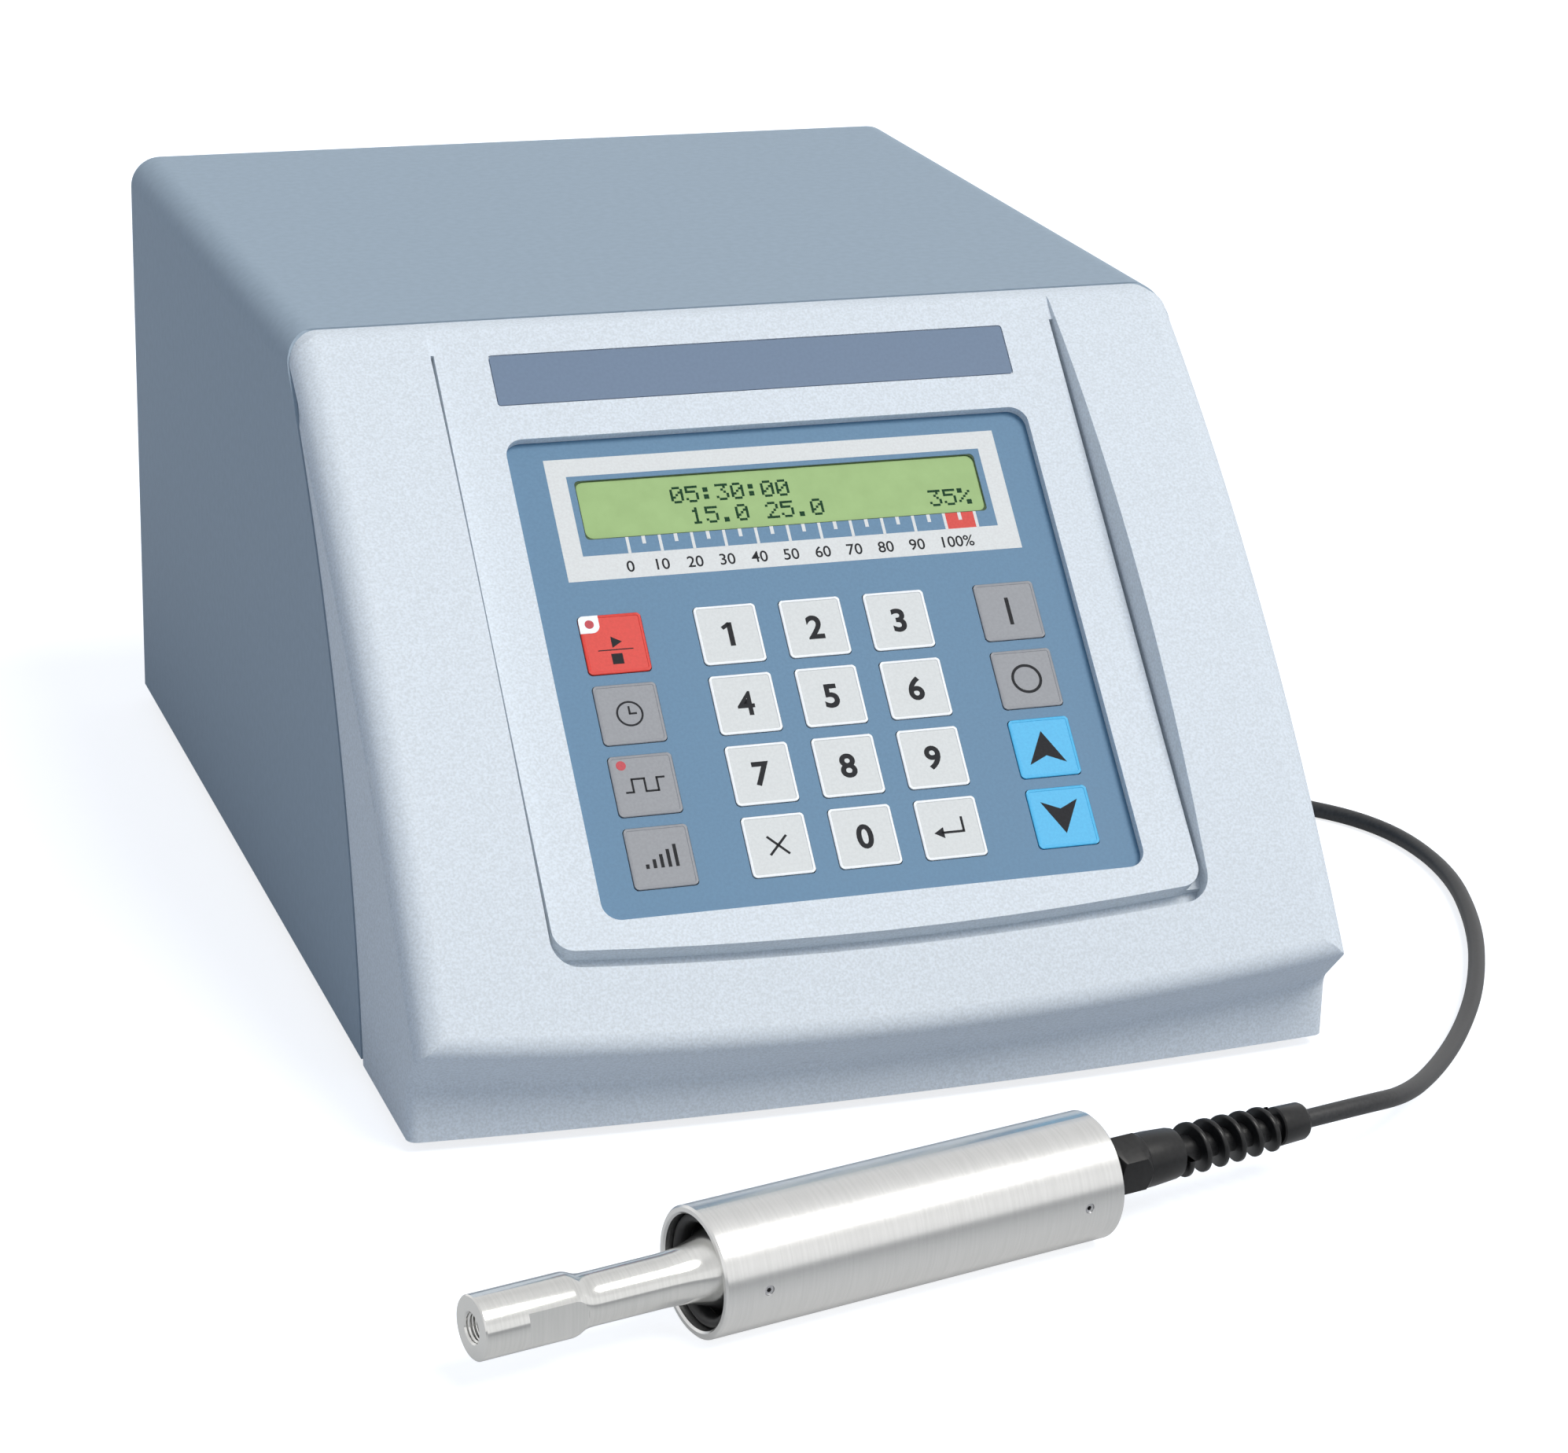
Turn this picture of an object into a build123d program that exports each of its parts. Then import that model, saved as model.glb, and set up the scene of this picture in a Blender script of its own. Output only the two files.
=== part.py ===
from build123d import *
from math import cos, pi, radians, sin, sqrt, tan
import os

os.makedirs("parts", exist_ok=True)

# Probe sonicator: a bench generator with a moulded keypad front, and the hand-held
# ultrasonic converter that lies in front of it on its lead. Millimetres, +Z up.
# The origin is on the bench, under the middle of the generator. The front faces -Y.

# Driving dimensions of the generator case
case_w = 306.0
case_d = 430.0
case_top = 216.0
case_sheet = 1.5
case_corner = 11.0
case_bottom = 6.0
lip_w = 14.0

# Driving dimensions of the moulded front
bezel_step = 0.5
bezel_w = case_w - 2 * bezel_step
bezel_top = case_top - bezel_step
bezel_bottom = 4.0
bezel_wall = 3.2
bezel_edge = 9.0
joint_foot = 59.0
joint_head = 163.0
joint_sagitta = 19.0
joint_gap = 0.3
fascia_foot = (-30.5, 20.0)
fascia_head_y = 155.0
fascia_sagitta = 12.0
nose_out = 14.0
nose_bow = 9.2
skirt_h = 20.0
skirt_bend = 7.0
nose_round = 6.5
rim_round = 3.5
head_round = 11.0
crease_r = 3.2
crease_deep = 0.9

# Flat instrument panel sunk in the front
panel_tilt = 45.2
panel_y = 77.7
panel_z = 138.0
panel_half_w = 106.5
panel_foot = 113.0
panel_foot_sagitta = 4.6
panel_corner = 7.0
groove_w = 5.5
groove_deep = 8.0
side_gap = 1.3
side_gap_deep = 5.0
pocket_draft = 10.0
panel_border = 17.0
window_w = 2 * (panel_half_w - panel_border)
window_top = 67.5
window_foot = 100.5
window_corner = 6.0
strip_w = window_w - 2.0
strip_h = 18.2
strip_mid = 89.5
strip_deep = 0.7
strip_gap = 0.35

# Keypad
key = 20.6
key_corner = 1.6
key_thick = 1.3
key_proud = 0.5
key_gap = 0.2
key_columns = (-66.7, -28.6, 0.0, 28.6, 66.7)
key_row_top = -6.1
key_pitch = 24.6
overlay_t = 0.8
spacer_t = 1.2
board_t = 1.6
dome_r = 4.0
dome_h = 0.7
clamp_rim = 4.5
lcd_w = 137.0
lcd_h = 21.4
lcd_mid = 42.0
lcd_frame = 5.0
lcd_step = 0.3
lcd_back = 9.0

# Chassis, feet and rear panel
chassis_t = 1.5
chassis_gap = 2.5
chassis_w = case_w - 2 * (case_sheet + chassis_gap)
chassis_z = 7.5
chassis_flange = 22.0
chassis_front = 12.0
foot_r = 9.0
foot_x = chassis_w / 2 - 31.0
foot_front = 85.0
foot_rear = 385.0
rear_inset = 9.0
rear_t = 1.5

# Rear fittings, X and height above the bench
fan_side, fan_drop, fan_size, fan_deep, fan_bore = 71.0, 80.0, 80.0, 25.0, 76.0
fan_x, fan_z = fan_side - case_w / 2, case_top - fan_drop
hub_r, blade_count, blade_t = 17.0, 7, 1.6
inlet_side, inlet_z, inlet_w, inlet_h = 55.0, 82.0, 34.0, 92.0
inlet_x = case_w / 2 - inlet_side
socket_x, socket_z, socket_r = -20.0, 60.0, 12.0
jack_x, jack_z, jack_r = -66.0, 60.0, 6.0

# Pieces inside the case: width, depth and height, distance from the chassis side and from the front
core_w, core_d, core_h = 84.0, 46.0, 70.0
core_side_gap, core_setback = 17.5, 292.0
board_d, board_side_gap, board_setback = 150.0, 7.5, 232.0
core_to_board = 10.0
board_w = chassis_w - 2 * chassis_t - core_side_gap - core_w - core_to_board - board_side_gap
standoff_h, standoff_in = 12.0, 7.5
sink_w, sink_d, sink_h, sink_fins, sink_setback = 70.0, 90.0, 44.0, 8, 250.0
coil_core_r, coil_hole_r, coil_tall = 24.0, 10.0, 20.0
can_r, can_tall, can_pitch, can_count = 11.0, 34.0, 26.0, 3

# Converter, measured along its axis from the face of its tip
converter_turn = 12.2
tip_at = (-171.0, -146.0)
tip_r, tip_len = 9.0, 28.4
neck_r, neck_len = 5.65, 28.0
driver_r, driver_len = 14.6, 32.0
flare_r = 13.0
housing_r, housing_bore, housing_start, housing_len = 19.05, 16.6, 68.4, 133.0
flat_w, flat_start = 15.6, 13.0
thread_r, thread_len = 4.2, 16.0
crystal_r, crystal_t, crystal_count, bolt_r = 12.7, 5.0, 4, 4.0
back_len = 26.0
cap_t = 8.0
gland_r, hex_flats, hex_len, thread_ring = 9.2, 17.0, 10.5, 5.5
dome_len, relief_len, relief_core, relief_fin, fin_count = 15.0, 47.5, 4.1, 7.6, 6

# Lead
cable_d = 5.8
coil_x, coil_y, coil_mid_r, coil_layers = 75.0, 487.0, 29.0, 3
plug_len = 44.0


def at_y(front_offset):
    """Y in the part's frame of a distance behind the front of the skirt."""
    return front_offset - case_d / 2


def print_radii(title, radii):
    print(title, [round(r, 1) for r in radii])


# Panel plane: local X across, local Y up the slope, local Z out of the panel
tilt = radians(panel_tilt)
panel_plane = Plane(
    origin=(0, at_y(panel_y), panel_z), x_dir=(1, 0, 0), z_dir=(0, -cos(tilt), sin(tilt))
)
slope = Vector(0, sin(tilt), cos(tilt))
out = Vector(0, -cos(tilt), sin(tilt))


def level(offset):
    """The panel plane moved along its normal."""
    return panel_plane.offset(offset)


overlay_face = -bezel_wall
spacer_face = overlay_face - overlay_t
board_face = spacer_face - spacer_t
board_back = board_face - board_t
window_h = window_top + window_foot
window_mid = (window_top - window_foot) / 2
key_rows = [key_row_top - i * key_pitch for i in range(4)]
key_places = [(x, y) for x in key_columns for y in key_rows]
key_names = [
    "start", "timer", "pulse", "amplitude",
    "1", "4", "7", "clear",
    "2", "5", "8", "0",
    "3", "6", "9", "enter",
    "on", "off", "up", "down",
]

# Form that gives the front its bowed nose and skirt: a section in the middle plane,
# turned about an axis that stands square to the panel, far up the slope
skirt_y = at_y(0.0)
under_run = nose_out + 12.0
middle_y = skirt_y - nose_bow * sin(tilt)
middle_top = bezel_bottom + skirt_h - nose_bow * cos(tilt)
bow_r = (bezel_w / 2) ** 2 / (2 * nose_bow)
bow_start = Vector(0, middle_y - nose_out, middle_top + nose_out)
bow_axis = Axis(bow_start + slope * bow_r, out)
with BuildPart() as front_form:
    with BuildSketch(Plane.YZ):
        with BuildLine():
            FilletPolyline(
                (middle_y, -40), (middle_y, middle_top),
                (middle_y - under_run, middle_top + under_run), radius=skirt_bend,
            )
            Polyline(
                (middle_y - under_run, middle_top + under_run),
                (middle_y - under_run, 400), (300, 400), (300, -40), (middle_y, -40),
            )
        make_face()
    revolve(axis=bow_axis, revolution_arc=9)
    mirror(about=Plane.YZ)

# Side view of the front: fascia arc in front, joint arc against the case behind
fascia_head = (at_y(fascia_head_y), bezel_top)
fascia_start = (at_y(fascia_foot[0]), fascia_foot[1])
joint_low = (at_y(joint_foot), bezel_bottom)
joint_high = (at_y(joint_head), bezel_top)
fascia_chord = Vector(0, fascia_head[0] - fascia_start[0], fascia_head[1] - fascia_start[1])
fascia_r = (fascia_chord.length ** 2 / 4 + fascia_sagitta ** 2) / (2 * fascia_sagitta)
chord_mid = Vector(0, (fascia_head[0] + fascia_start[0]) / 2, (fascia_head[1] + fascia_start[1]) / 2)
fascia_out = Vector(0, -fascia_chord.Z, fascia_chord.Y).normalized()
fascia_centre = chord_mid - fascia_out * (fascia_r - fascia_sagitta)


def on_panel(up, off):
    """Y and Z of a point in the middle plane, given up the slope and off the panel."""
    place = panel_plane.origin + slope * up + out * off
    return (place.Y, place.Z)


# Walls inside the front: how far the hollow runs along the panel, and behind the cheeks
hollow_foot = -(window_foot + clamp_rim + 1)
hollow_head = 105.0
back_line = 12.0
cheek_w = bezel_w / 2 - bezel_edge - panel_half_w - 2 * bezel_wall
cheek_low = (at_y(2.0), 60.0)
cheek_high = (at_y(fascia_head_y), bezel_top - bezel_wall)
cheek_sagitta = ((cheek_high[0] - cheek_low[0]) ** 2 + (cheek_high[1] - cheek_low[1]) ** 2) / (8 * fascia_r)

# Cutter that rounds the long side edges of the fascia, turned about the fascia's own centre
corner_plane = Plane(
    origin=fascia_centre, x_dir=(1, 0, 0), z_dir=(0, -fascia_out.Z, fascia_out.Y)
)
with BuildPart() as edge_cutter:
    with BuildSketch(corner_plane):
        with BuildLine():
            Polyline(
                (bezel_w / 2 - bezel_edge, fascia_r), (bezel_w / 2 - bezel_edge, fascia_r + 3),
                (bezel_w / 2 + 3, fascia_r + 3), (bezel_w / 2 + 3, fascia_r - bezel_edge),
                (bezel_w / 2, fascia_r - bezel_edge),
            )
            RadiusArc(
                (bezel_w / 2, fascia_r - bezel_edge), (bezel_w / 2 - bezel_edge, fascia_r), -bezel_edge
            )
        make_face()
        with Locations((bezel_w / 2 + crease_r - crease_deep, fascia_r - bezel_edge)):
            Circle(crease_r)
    revolve(axis=Axis(fascia_centre, (1, 0, 0)), revolution_arc=13)
    mirror(about=corner_plane)
    mirror(about=Plane.YZ)

with BuildPart() as top_cutter:
    with BuildSketch(Plane.XZ.offset(-at_y(joint_head + 10))):
        with BuildLine():
            Polyline(
                (bezel_w / 2 - case_corner, bezel_top), (bezel_w / 2 - case_corner, bezel_top + 3),
                (bezel_w / 2 + 3, bezel_top + 3), (bezel_w / 2 + 3, bezel_top - case_corner),
                (bezel_w / 2, bezel_top - case_corner),
            )
            RadiusArc(
                (bezel_w / 2, bezel_top - case_corner), (bezel_w / 2 - case_corner, bezel_top),
                -case_corner,
            )
        make_face()
    extrude(amount=60)
    mirror(about=Plane.YZ)


def panel_outline(half_w, foot, corner, top):
    """Outline of the panel or of its pocket, with a bowed foot."""
    side_foot = -foot + panel_foot_sagitta
    with BuildSketch() as outline:
        with BuildLine():
            SagittaArc((-half_w, side_foot), (half_w, side_foot), -panel_foot_sagitta)
            Polyline((half_w, side_foot), (half_w, top), (-half_w, top), (-half_w, side_foot))
        make_face()
        fillet(outline.vertices().sort_by(Axis.Y)[:2], radius=corner)
    return outline.sketch


def on_outline(place):
    """Whether a point of a side face lies on its outline in front of the joint."""
    off_centre = (Vector(0, place.Y, place.Z) - fascia_centre).length
    in_front = place.Z > bezel_bottom + 1 and place.Y < at_y(joint_foot)
    return in_front or place.Z > bezel_top - nose_round or abs(off_centre - fascia_r) < 0.2


with BuildPart() as front_bezel:
    with BuildSketch(Plane.YZ):
        with BuildLine():
            SagittaArc(fascia_start, fascia_head, fascia_sagitta)
            Line(fascia_head, joint_high)
            SagittaArc(joint_high, joint_low, -joint_sagitta)
            Line(joint_low, (fascia_start[0], bezel_bottom))
            Line((fascia_start[0], bezel_bottom), fascia_start)
        make_face()
    extrude(amount=bezel_w / 2, both=True)
    add(front_form.part, mode=Mode.INTERSECT)
    # Rounded nose, top edge and side outline
    nose_edge = front_bezel.edges().filter_by(GeomType.BSPLINE).sort_by(Edge.length)[-1]
    fillet(nose_edge, radius=nose_round)
    fillet(front_bezel.edges().filter_by(Axis.X).group_by(Axis.Z)[-1].sort_by(Axis.Y)[0], radius=head_round)
    rim = [
        edge
        for face in front_bezel.faces().filter_by(Plane.YZ)
        for edge in face.edges()
        if on_outline(edge @ 0.5)
    ]
    fillet(rim, radius=rim_round)
    add(edge_cutter.part, mode=Mode.SUBTRACT)
    add(top_cutter.part, mode=Mode.SUBTRACT)
    # Pocket of the flat panel, with a groove along its foot and a fine gap at its sides
    with BuildSketch(panel_plane):
        add(panel_outline(panel_half_w + side_gap, panel_foot + groove_w, panel_corner + 2, 140))
    extrude(amount=20, taper=-pocket_draft, mode=Mode.SUBTRACT)
    with BuildSketch(panel_plane):
        add(panel_outline(panel_half_w + side_gap, panel_foot + groove_w, panel_corner + 2, 100))
        add(panel_outline(panel_half_w, panel_foot, panel_corner, 101), mode=Mode.SUBTRACT)
    extrude(amount=-side_gap_deep, mode=Mode.SUBTRACT)
    with BuildSketch(panel_plane):
        add(panel_outline(panel_half_w + side_gap, panel_foot + groove_w, panel_corner + 2, 100))
        add(panel_outline(panel_half_w, panel_foot, panel_corner, 101), mode=Mode.SUBTRACT)
        with Locations((0, panel_foot_sagitta - panel_foot)):
            Rectangle(3 * panel_half_w, 300, align=(Align.CENTER, Align.MIN), mode=Mode.SUBTRACT)
    extrude(amount=-groove_deep, mode=Mode.SUBTRACT)
    # Window of the keypad and the shallow seat of the name strip
    with BuildSketch(panel_plane):
        with Locations((0, window_mid)):
            RectangleRounded(window_w, window_h, window_corner)
    extrude(amount=-3 * bezel_wall, mode=Mode.SUBTRACT)
    with BuildSketch(panel_plane):
        with Locations((0, strip_mid)):
            RectangleRounded(strip_w + 2 * strip_gap, strip_h + 2 * strip_gap, 1.2)
    extrude(amount=-strip_deep, mode=Mode.SUBTRACT)
    # Hollow behind the panel, behind the cheeks beside it, and through to the case
    with BuildSketch(Plane.YZ):
        Polygon(
            on_panel(hollow_foot, -bezel_wall), on_panel(hollow_head, -bezel_wall),
            on_panel(hollow_head, -back_line - 1), on_panel(hollow_foot, -back_line - 1), align=None,
        )
    extrude(amount=panel_half_w - bezel_wall, both=True, mode=Mode.SUBTRACT)
    with BuildSketch(Plane.YZ):
        Polygon(
            on_panel(hollow_foot, -back_line), on_panel(hollow_head - 9, -back_line),
            (at_y(fascia_head_y + 2), bezel_top - bezel_wall),
            (at_y(joint_head + 40), bezel_top - bezel_wall),
            (at_y(joint_head + 40), bezel_bottom + bezel_wall),
            (at_y(bezel_wall), bezel_bottom + bezel_wall),
            (at_y(bezel_wall), bezel_bottom + skirt_h), align=None,
        )
    extrude(amount=bezel_w / 2 - bezel_wall, both=True, mode=Mode.SUBTRACT)
    for cheek_start in (panel_half_w + 2 * bezel_wall, -(bezel_w / 2 - bezel_edge)):
        with BuildSketch(Plane.YZ.offset(cheek_start)):
            with BuildLine():
                SagittaArc(cheek_low, cheek_high, cheek_sagitta)
                Polyline(
                    cheek_high, on_panel(hollow_head - 9, -back_line - 1),
                    on_panel(hollow_foot, -back_line - 1), cheek_low,
                )
            make_face()
        extrude(amount=cheek_w, mode=Mode.SUBTRACT)
front_bezel.part.label = "front_bezel"
export_step(front_bezel.part, "parts/front_bezel.step")

with BuildPart() as name_strip:
    with BuildSketch(level(-strip_deep)):
        with Locations((0, strip_mid)):
            RectangleRounded(strip_w, strip_h, 0.9)
    extrude(amount=strip_deep - 0.1)
name_strip.part.label = "name_strip"
export_step(name_strip.part, "parts/name_strip.step")

# Keypad, from the front: overlay with the keys in it, spacer, switch board with its domes
clamp_w = window_w + 2 * clamp_rim
clamp_h = window_h + 2 * clamp_rim


def layer(front, thick, hole, hole_corner, lcd_extra):
    """One sheet of the keypad, with a square hole at each key and one for the display."""
    with BuildPart() as sheet:
        with BuildSketch(level(front)):
            with Locations((0, window_mid)):
                RectangleRounded(clamp_w, clamp_h, 3)
            with Locations(*key_places):
                RectangleRounded(hole, hole, hole_corner, mode=Mode.SUBTRACT)
            with Locations((0, lcd_mid)):
                RectangleRounded(lcd_w + lcd_extra, lcd_h + lcd_extra, 1.5, mode=Mode.SUBTRACT)
        extrude(amount=-thick)
    return sheet.part


membrane_overlay = layer(overlay_face, overlay_t, key + 2 * key_gap, key_corner, 0)
membrane_overlay.label = "membrane_overlay"
export_step(membrane_overlay, "parts/membrane_overlay.step")
spacer_layer = layer(spacer_face, spacer_t, key + 2 * key_gap, key_corner, 2 * lcd_frame)
spacer_layer.label = "spacer_layer"
export_step(spacer_layer, "parts/spacer_layer.step")

with BuildPart() as switch_board:
    with BuildSketch(level(board_face)):
        with Locations((0, window_mid)):
            RectangleRounded(clamp_w, clamp_h, 3)
        with Locations((0, lcd_mid)):
            RectangleRounded(lcd_w + 2 * lcd_frame, lcd_h + 2 * lcd_frame, 1.5, mode=Mode.SUBTRACT)
    extrude(amount=-board_t)
    with BuildSketch(level(board_face)):
        with Locations(*key_places):
            Circle(dome_r)
    extrude(amount=dome_h, taper=30)
switch_board.part.label = "switch_board"
export_step(switch_board.part, "parts/switch_board.step")

for (key_x, key_y), key_name in zip(key_places, key_names):
    with BuildPart() as key_cap:
        with BuildSketch(level(overlay_face + key_proud)):
            with Locations((key_x, key_y)):
                RectangleRounded(key, key, key_corner)
        extrude(amount=-key_thick)
        fillet(key_cap.faces().sort_by(Axis(panel_plane.origin, out))[-1].edges(), radius=0.3)
    key_cap.part.label = "key_" + key_name
    export_step(key_cap.part, "parts/key_" + key_name + ".step")

# Display module: a frame that stands in the board's cut-out, its circuit board behind
lcd_frame_gap = 0.25
with BuildPart() as lcd_module:
    with BuildSketch(level(spacer_face - lcd_step)):
        with Locations((0, lcd_mid)):
            RectangleRounded(
                lcd_w + 2 * (lcd_frame - lcd_frame_gap), lcd_h + 2 * (lcd_frame - lcd_frame_gap), 1.5
            )
            Rectangle(lcd_w - 2, lcd_h - 2, mode=Mode.SUBTRACT)
    extrude(amount=-(spacer_t + board_t - lcd_step + 0.3))
    with BuildSketch(level(board_back - 0.3)):
        with Locations((0, lcd_mid)):
            Rectangle(lcd_w + 20, lcd_h + 22)
    extrude(amount=-2.0)
    with BuildSketch(level(board_back - 2.3)):
        with Locations((0, lcd_mid)):
            with GridLocations(30, 0, 4, 1):
                Rectangle(22, 16)
    extrude(amount=-(lcd_back - 5))
lcd_module.part.label = "lcd_module"
export_step(lcd_module.part, "parts/lcd_module.step")

with BuildPart() as lcd_glass:
    with BuildSketch(level(spacer_face - lcd_step - 0.4)):
        with Locations((0, lcd_mid)):
            Rectangle(lcd_w - 2.4, lcd_h - 2.4)
    extrude(amount=-(spacer_t + board_t - lcd_step - 0.1))
lcd_glass.part.label = "lcd_glass"
export_step(lcd_glass.part, "parts/lcd_glass.step")

# Wraparound case cover: a bent sheet with rounded shoulders and a lip under each side
cover_back = case_d / 2
rear_face = cover_back - rear_inset
rear_inner = rear_face - rear_t
floor_top = chassis_z + chassis_t


def shoulder_outline(inset, low):
    """Section of the case with both top corners rounded, drawn in from the outside by an inset."""
    with BuildSketch() as outline:
        with Locations((0, low)):
            Rectangle(case_w - 2 * inset, case_top - inset - low, align=(Align.CENTER, Align.MIN))
        fillet(outline.vertices().group_by(Axis.Y)[-1], radius=case_corner - inset)
    return outline.sketch


with BuildPart() as case_cover:
    with BuildSketch(Plane.XZ.offset(-cover_back)):
        add(shoulder_outline(0, case_bottom))
        add(shoulder_outline(case_sheet, case_bottom + case_sheet), mode=Mode.SUBTRACT)
        with Locations((0, case_bottom)):
            Rectangle(case_w - 2 * lip_w, 4 * case_sheet, mode=Mode.SUBTRACT)
    extrude(amount=case_d)
    with BuildSketch(Plane.YZ):
        with BuildLine():
            low_end = (joint_low[0] + joint_gap, joint_low[1])
            high_end = (joint_high[0] + joint_gap, joint_high[1])
            SagittaArc(low_end, high_end, joint_sagitta)
            Polyline(
                high_end, (high_end[0], case_top + 10), (-case_d, case_top + 10),
                (-case_d, 0), (low_end[0], 0), low_end,
            )
        make_face()
    extrude(amount=case_w, both=True, mode=Mode.SUBTRACT)
case_cover.part.label = "case_cover"
export_step(case_cover.part, "parts/case_cover.step")

# Chassis tray, on the lips of the cover, with upturned sides and rear
chassis_y = at_y(chassis_front)
with BuildPart() as base_chassis:
    with BuildSketch(Plane.XY.offset(chassis_z)):
        with Locations((0, chassis_y)):
            Rectangle(chassis_w, rear_face - chassis_y, align=(Align.CENTER, Align.MIN))
    extrude(amount=chassis_t)
    with BuildSketch(Plane.XY.offset(floor_top)):
        for side in (-1, 1):
            with Locations((side * (chassis_w - chassis_t) / 2, chassis_y)):
                Rectangle(chassis_t, rear_inner - chassis_y, align=(Align.CENTER, Align.MIN))
    extrude(amount=chassis_flange)
    with BuildSketch(Plane.XY.offset(floor_top)):
        with Locations((0, rear_inner)):
            Rectangle(chassis_w - 2 * chassis_t, chassis_t, align=(Align.CENTER, Align.MAX))
    extrude(amount=0.7 * chassis_flange)
base_chassis.part.label = "base_chassis"
export_step(base_chassis.part, "parts/base_chassis.step")

with BuildPart() as feet:
    with BuildSketch(Plane.XY.offset(chassis_z)):
        with Locations(*[(x, at_y(y)) for x in (-foot_x, foot_x) for y in (foot_front, foot_rear)]):
            Circle(foot_r)
    extrude(amount=-chassis_z, taper=8)
feet.part.label = "feet"
export_step(feet.part, "parts/feet.step")

# Rear panel, set in from the cover's rear edge
screw_x, screw_low, screw_high = case_w / 2 - 15, floor_top + 13, case_top - 14
screw_rise = (screw_high - screw_low) / 3
screw_places = [(side * screw_x, screw_low + i * screw_rise) for side in (-1, 1) for i in range(4)]
screw_hole_r = 1.6
module_gap = 0.2
with BuildPart() as rear_panel:
    with BuildSketch(Plane.XZ.offset(-rear_face)):
        add(shoulder_outline(case_sheet + 0.3, floor_top))
        with Locations((fan_x, fan_z)):
            Circle(fan_bore / 2, mode=Mode.SUBTRACT)
        with Locations((inlet_x, inlet_z)):
            Rectangle(inlet_w - 4 + 2 * module_gap, inlet_h - 6 + 2 * module_gap, mode=Mode.SUBTRACT)
        with Locations((socket_x, socket_z)):
            Circle(socket_r - 1 + module_gap, mode=Mode.SUBTRACT)
        with Locations((jack_x, jack_z)):
            Circle(jack_r - 1.5 + module_gap, mode=Mode.SUBTRACT)
        with Locations(*screw_places):
            Circle(screw_hole_r, mode=Mode.SUBTRACT)
    extrude(amount=rear_t)
rear_panel.part.label = "rear_panel"
export_step(rear_panel.part, "parts/rear_panel.step")

with BuildPart() as rear_screws:
    with BuildSketch(Plane.XZ.offset(-rear_face)):
        with Locations(*screw_places):
            Circle(3.0)
    extrude(amount=-1.8, taper=20)
    with BuildSketch(Plane.XZ.offset(-rear_face)):
        with Locations(*screw_places):
            Circle(screw_hole_r - 0.2)
    extrude(amount=rear_t)
rear_screws.part.label = "rear_screws"
export_step(rear_screws.part, "parts/rear_screws.step")

# Fan: frame with its motor hub and shaft on three struts, a bladed rotor and a finger guard
fan_plane = Plane(origin=(fan_x, rear_inner, fan_z), x_dir=(1, 0, 0), z_dir=(0, -1, 0))
strut_t = 3.0
fan_shaft_r = 2.0
shaft_fit = 0.05
rotor_start = 2.0
rotor_end = fan_deep - strut_t - 1.0
with BuildPart() as fan_housing:
    with BuildSketch(fan_plane):
        RectangleRounded(fan_size, fan_size, 5)
        Circle(fan_bore / 2, mode=Mode.SUBTRACT)
        with GridLocations(71.5, 71.5, 2, 2):
            Circle(2.2, mode=Mode.SUBTRACT)
    extrude(amount=fan_deep)
    with BuildSketch(fan_plane.offset(fan_deep - strut_t)):
        Circle(hub_r)
        with PolarLocations(0, 3, start_angle=90):
            with Locations((fan_bore / 4, 0)):
                Rectangle(fan_bore / 2 + 1, 5)
    extrude(amount=strut_t)
    with BuildSketch(fan_plane.offset(rotor_start)):
        Circle(fan_shaft_r)
    extrude(amount=fan_deep - strut_t - rotor_start)
fan_housing.part.label = "fan_housing"
export_step(fan_housing.part, "parts/fan_housing.step")

with BuildPart() as fan_rotor:
    with BuildSketch(fan_plane.offset(rotor_start)):
        Circle(hub_r)
    extrude(amount=rotor_end - rotor_start)
    fillet(fan_rotor.edges().filter_by(GeomType.CIRCLE).group_by(Axis.Y)[-1], radius=2)
    blade_centre = fan_plane.offset((rotor_start + rotor_end) / 2).origin
    for blade in range(blade_count):
        turn = 2 * pi * blade / blade_count
        reach = Vector(cos(turn), 0, sin(turn))
        with BuildSketch(Plane(origin=blade_centre + reach * (hub_r - 2), x_dir=(0, 1, 0), z_dir=reach)):
            Rectangle(rotor_end - rotor_start + 1, blade_t, rotation=48)
        extrude(amount=fan_bore / 2 - 1.2 - hub_r + 2)
    with BuildSketch(fan_plane):
        Circle(fan_shaft_r + shaft_fit)
    extrude(amount=fan_deep, mode=Mode.SUBTRACT)
fan_rotor.part.label = "fan_rotor"
export_step(fan_rotor.part, "parts/fan_rotor.step")

guard_wire = 1.6
with BuildPart() as fan_guard:
    with BuildSketch(Plane.XZ.offset(-rear_face)):
        with Locations((fan_x, fan_z)):
            for ring_r in (38.5, 30.0, 21.5, 13.0):
                Circle(ring_r + guard_wire / 2)
                Circle(ring_r - guard_wire / 2, mode=Mode.SUBTRACT)
            with PolarLocations(0, 4, start_angle=45):
                with Locations((30.0, 0)):
                    Rectangle(40, guard_wire)
            with GridLocations(71.5, 71.5, 2, 2):
                Circle(3.6)
    extrude(amount=-guard_wire)
fan_guard.part.label = "fan_guard"
export_step(fan_guard.part, "parts/fan_guard.step")

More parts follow.
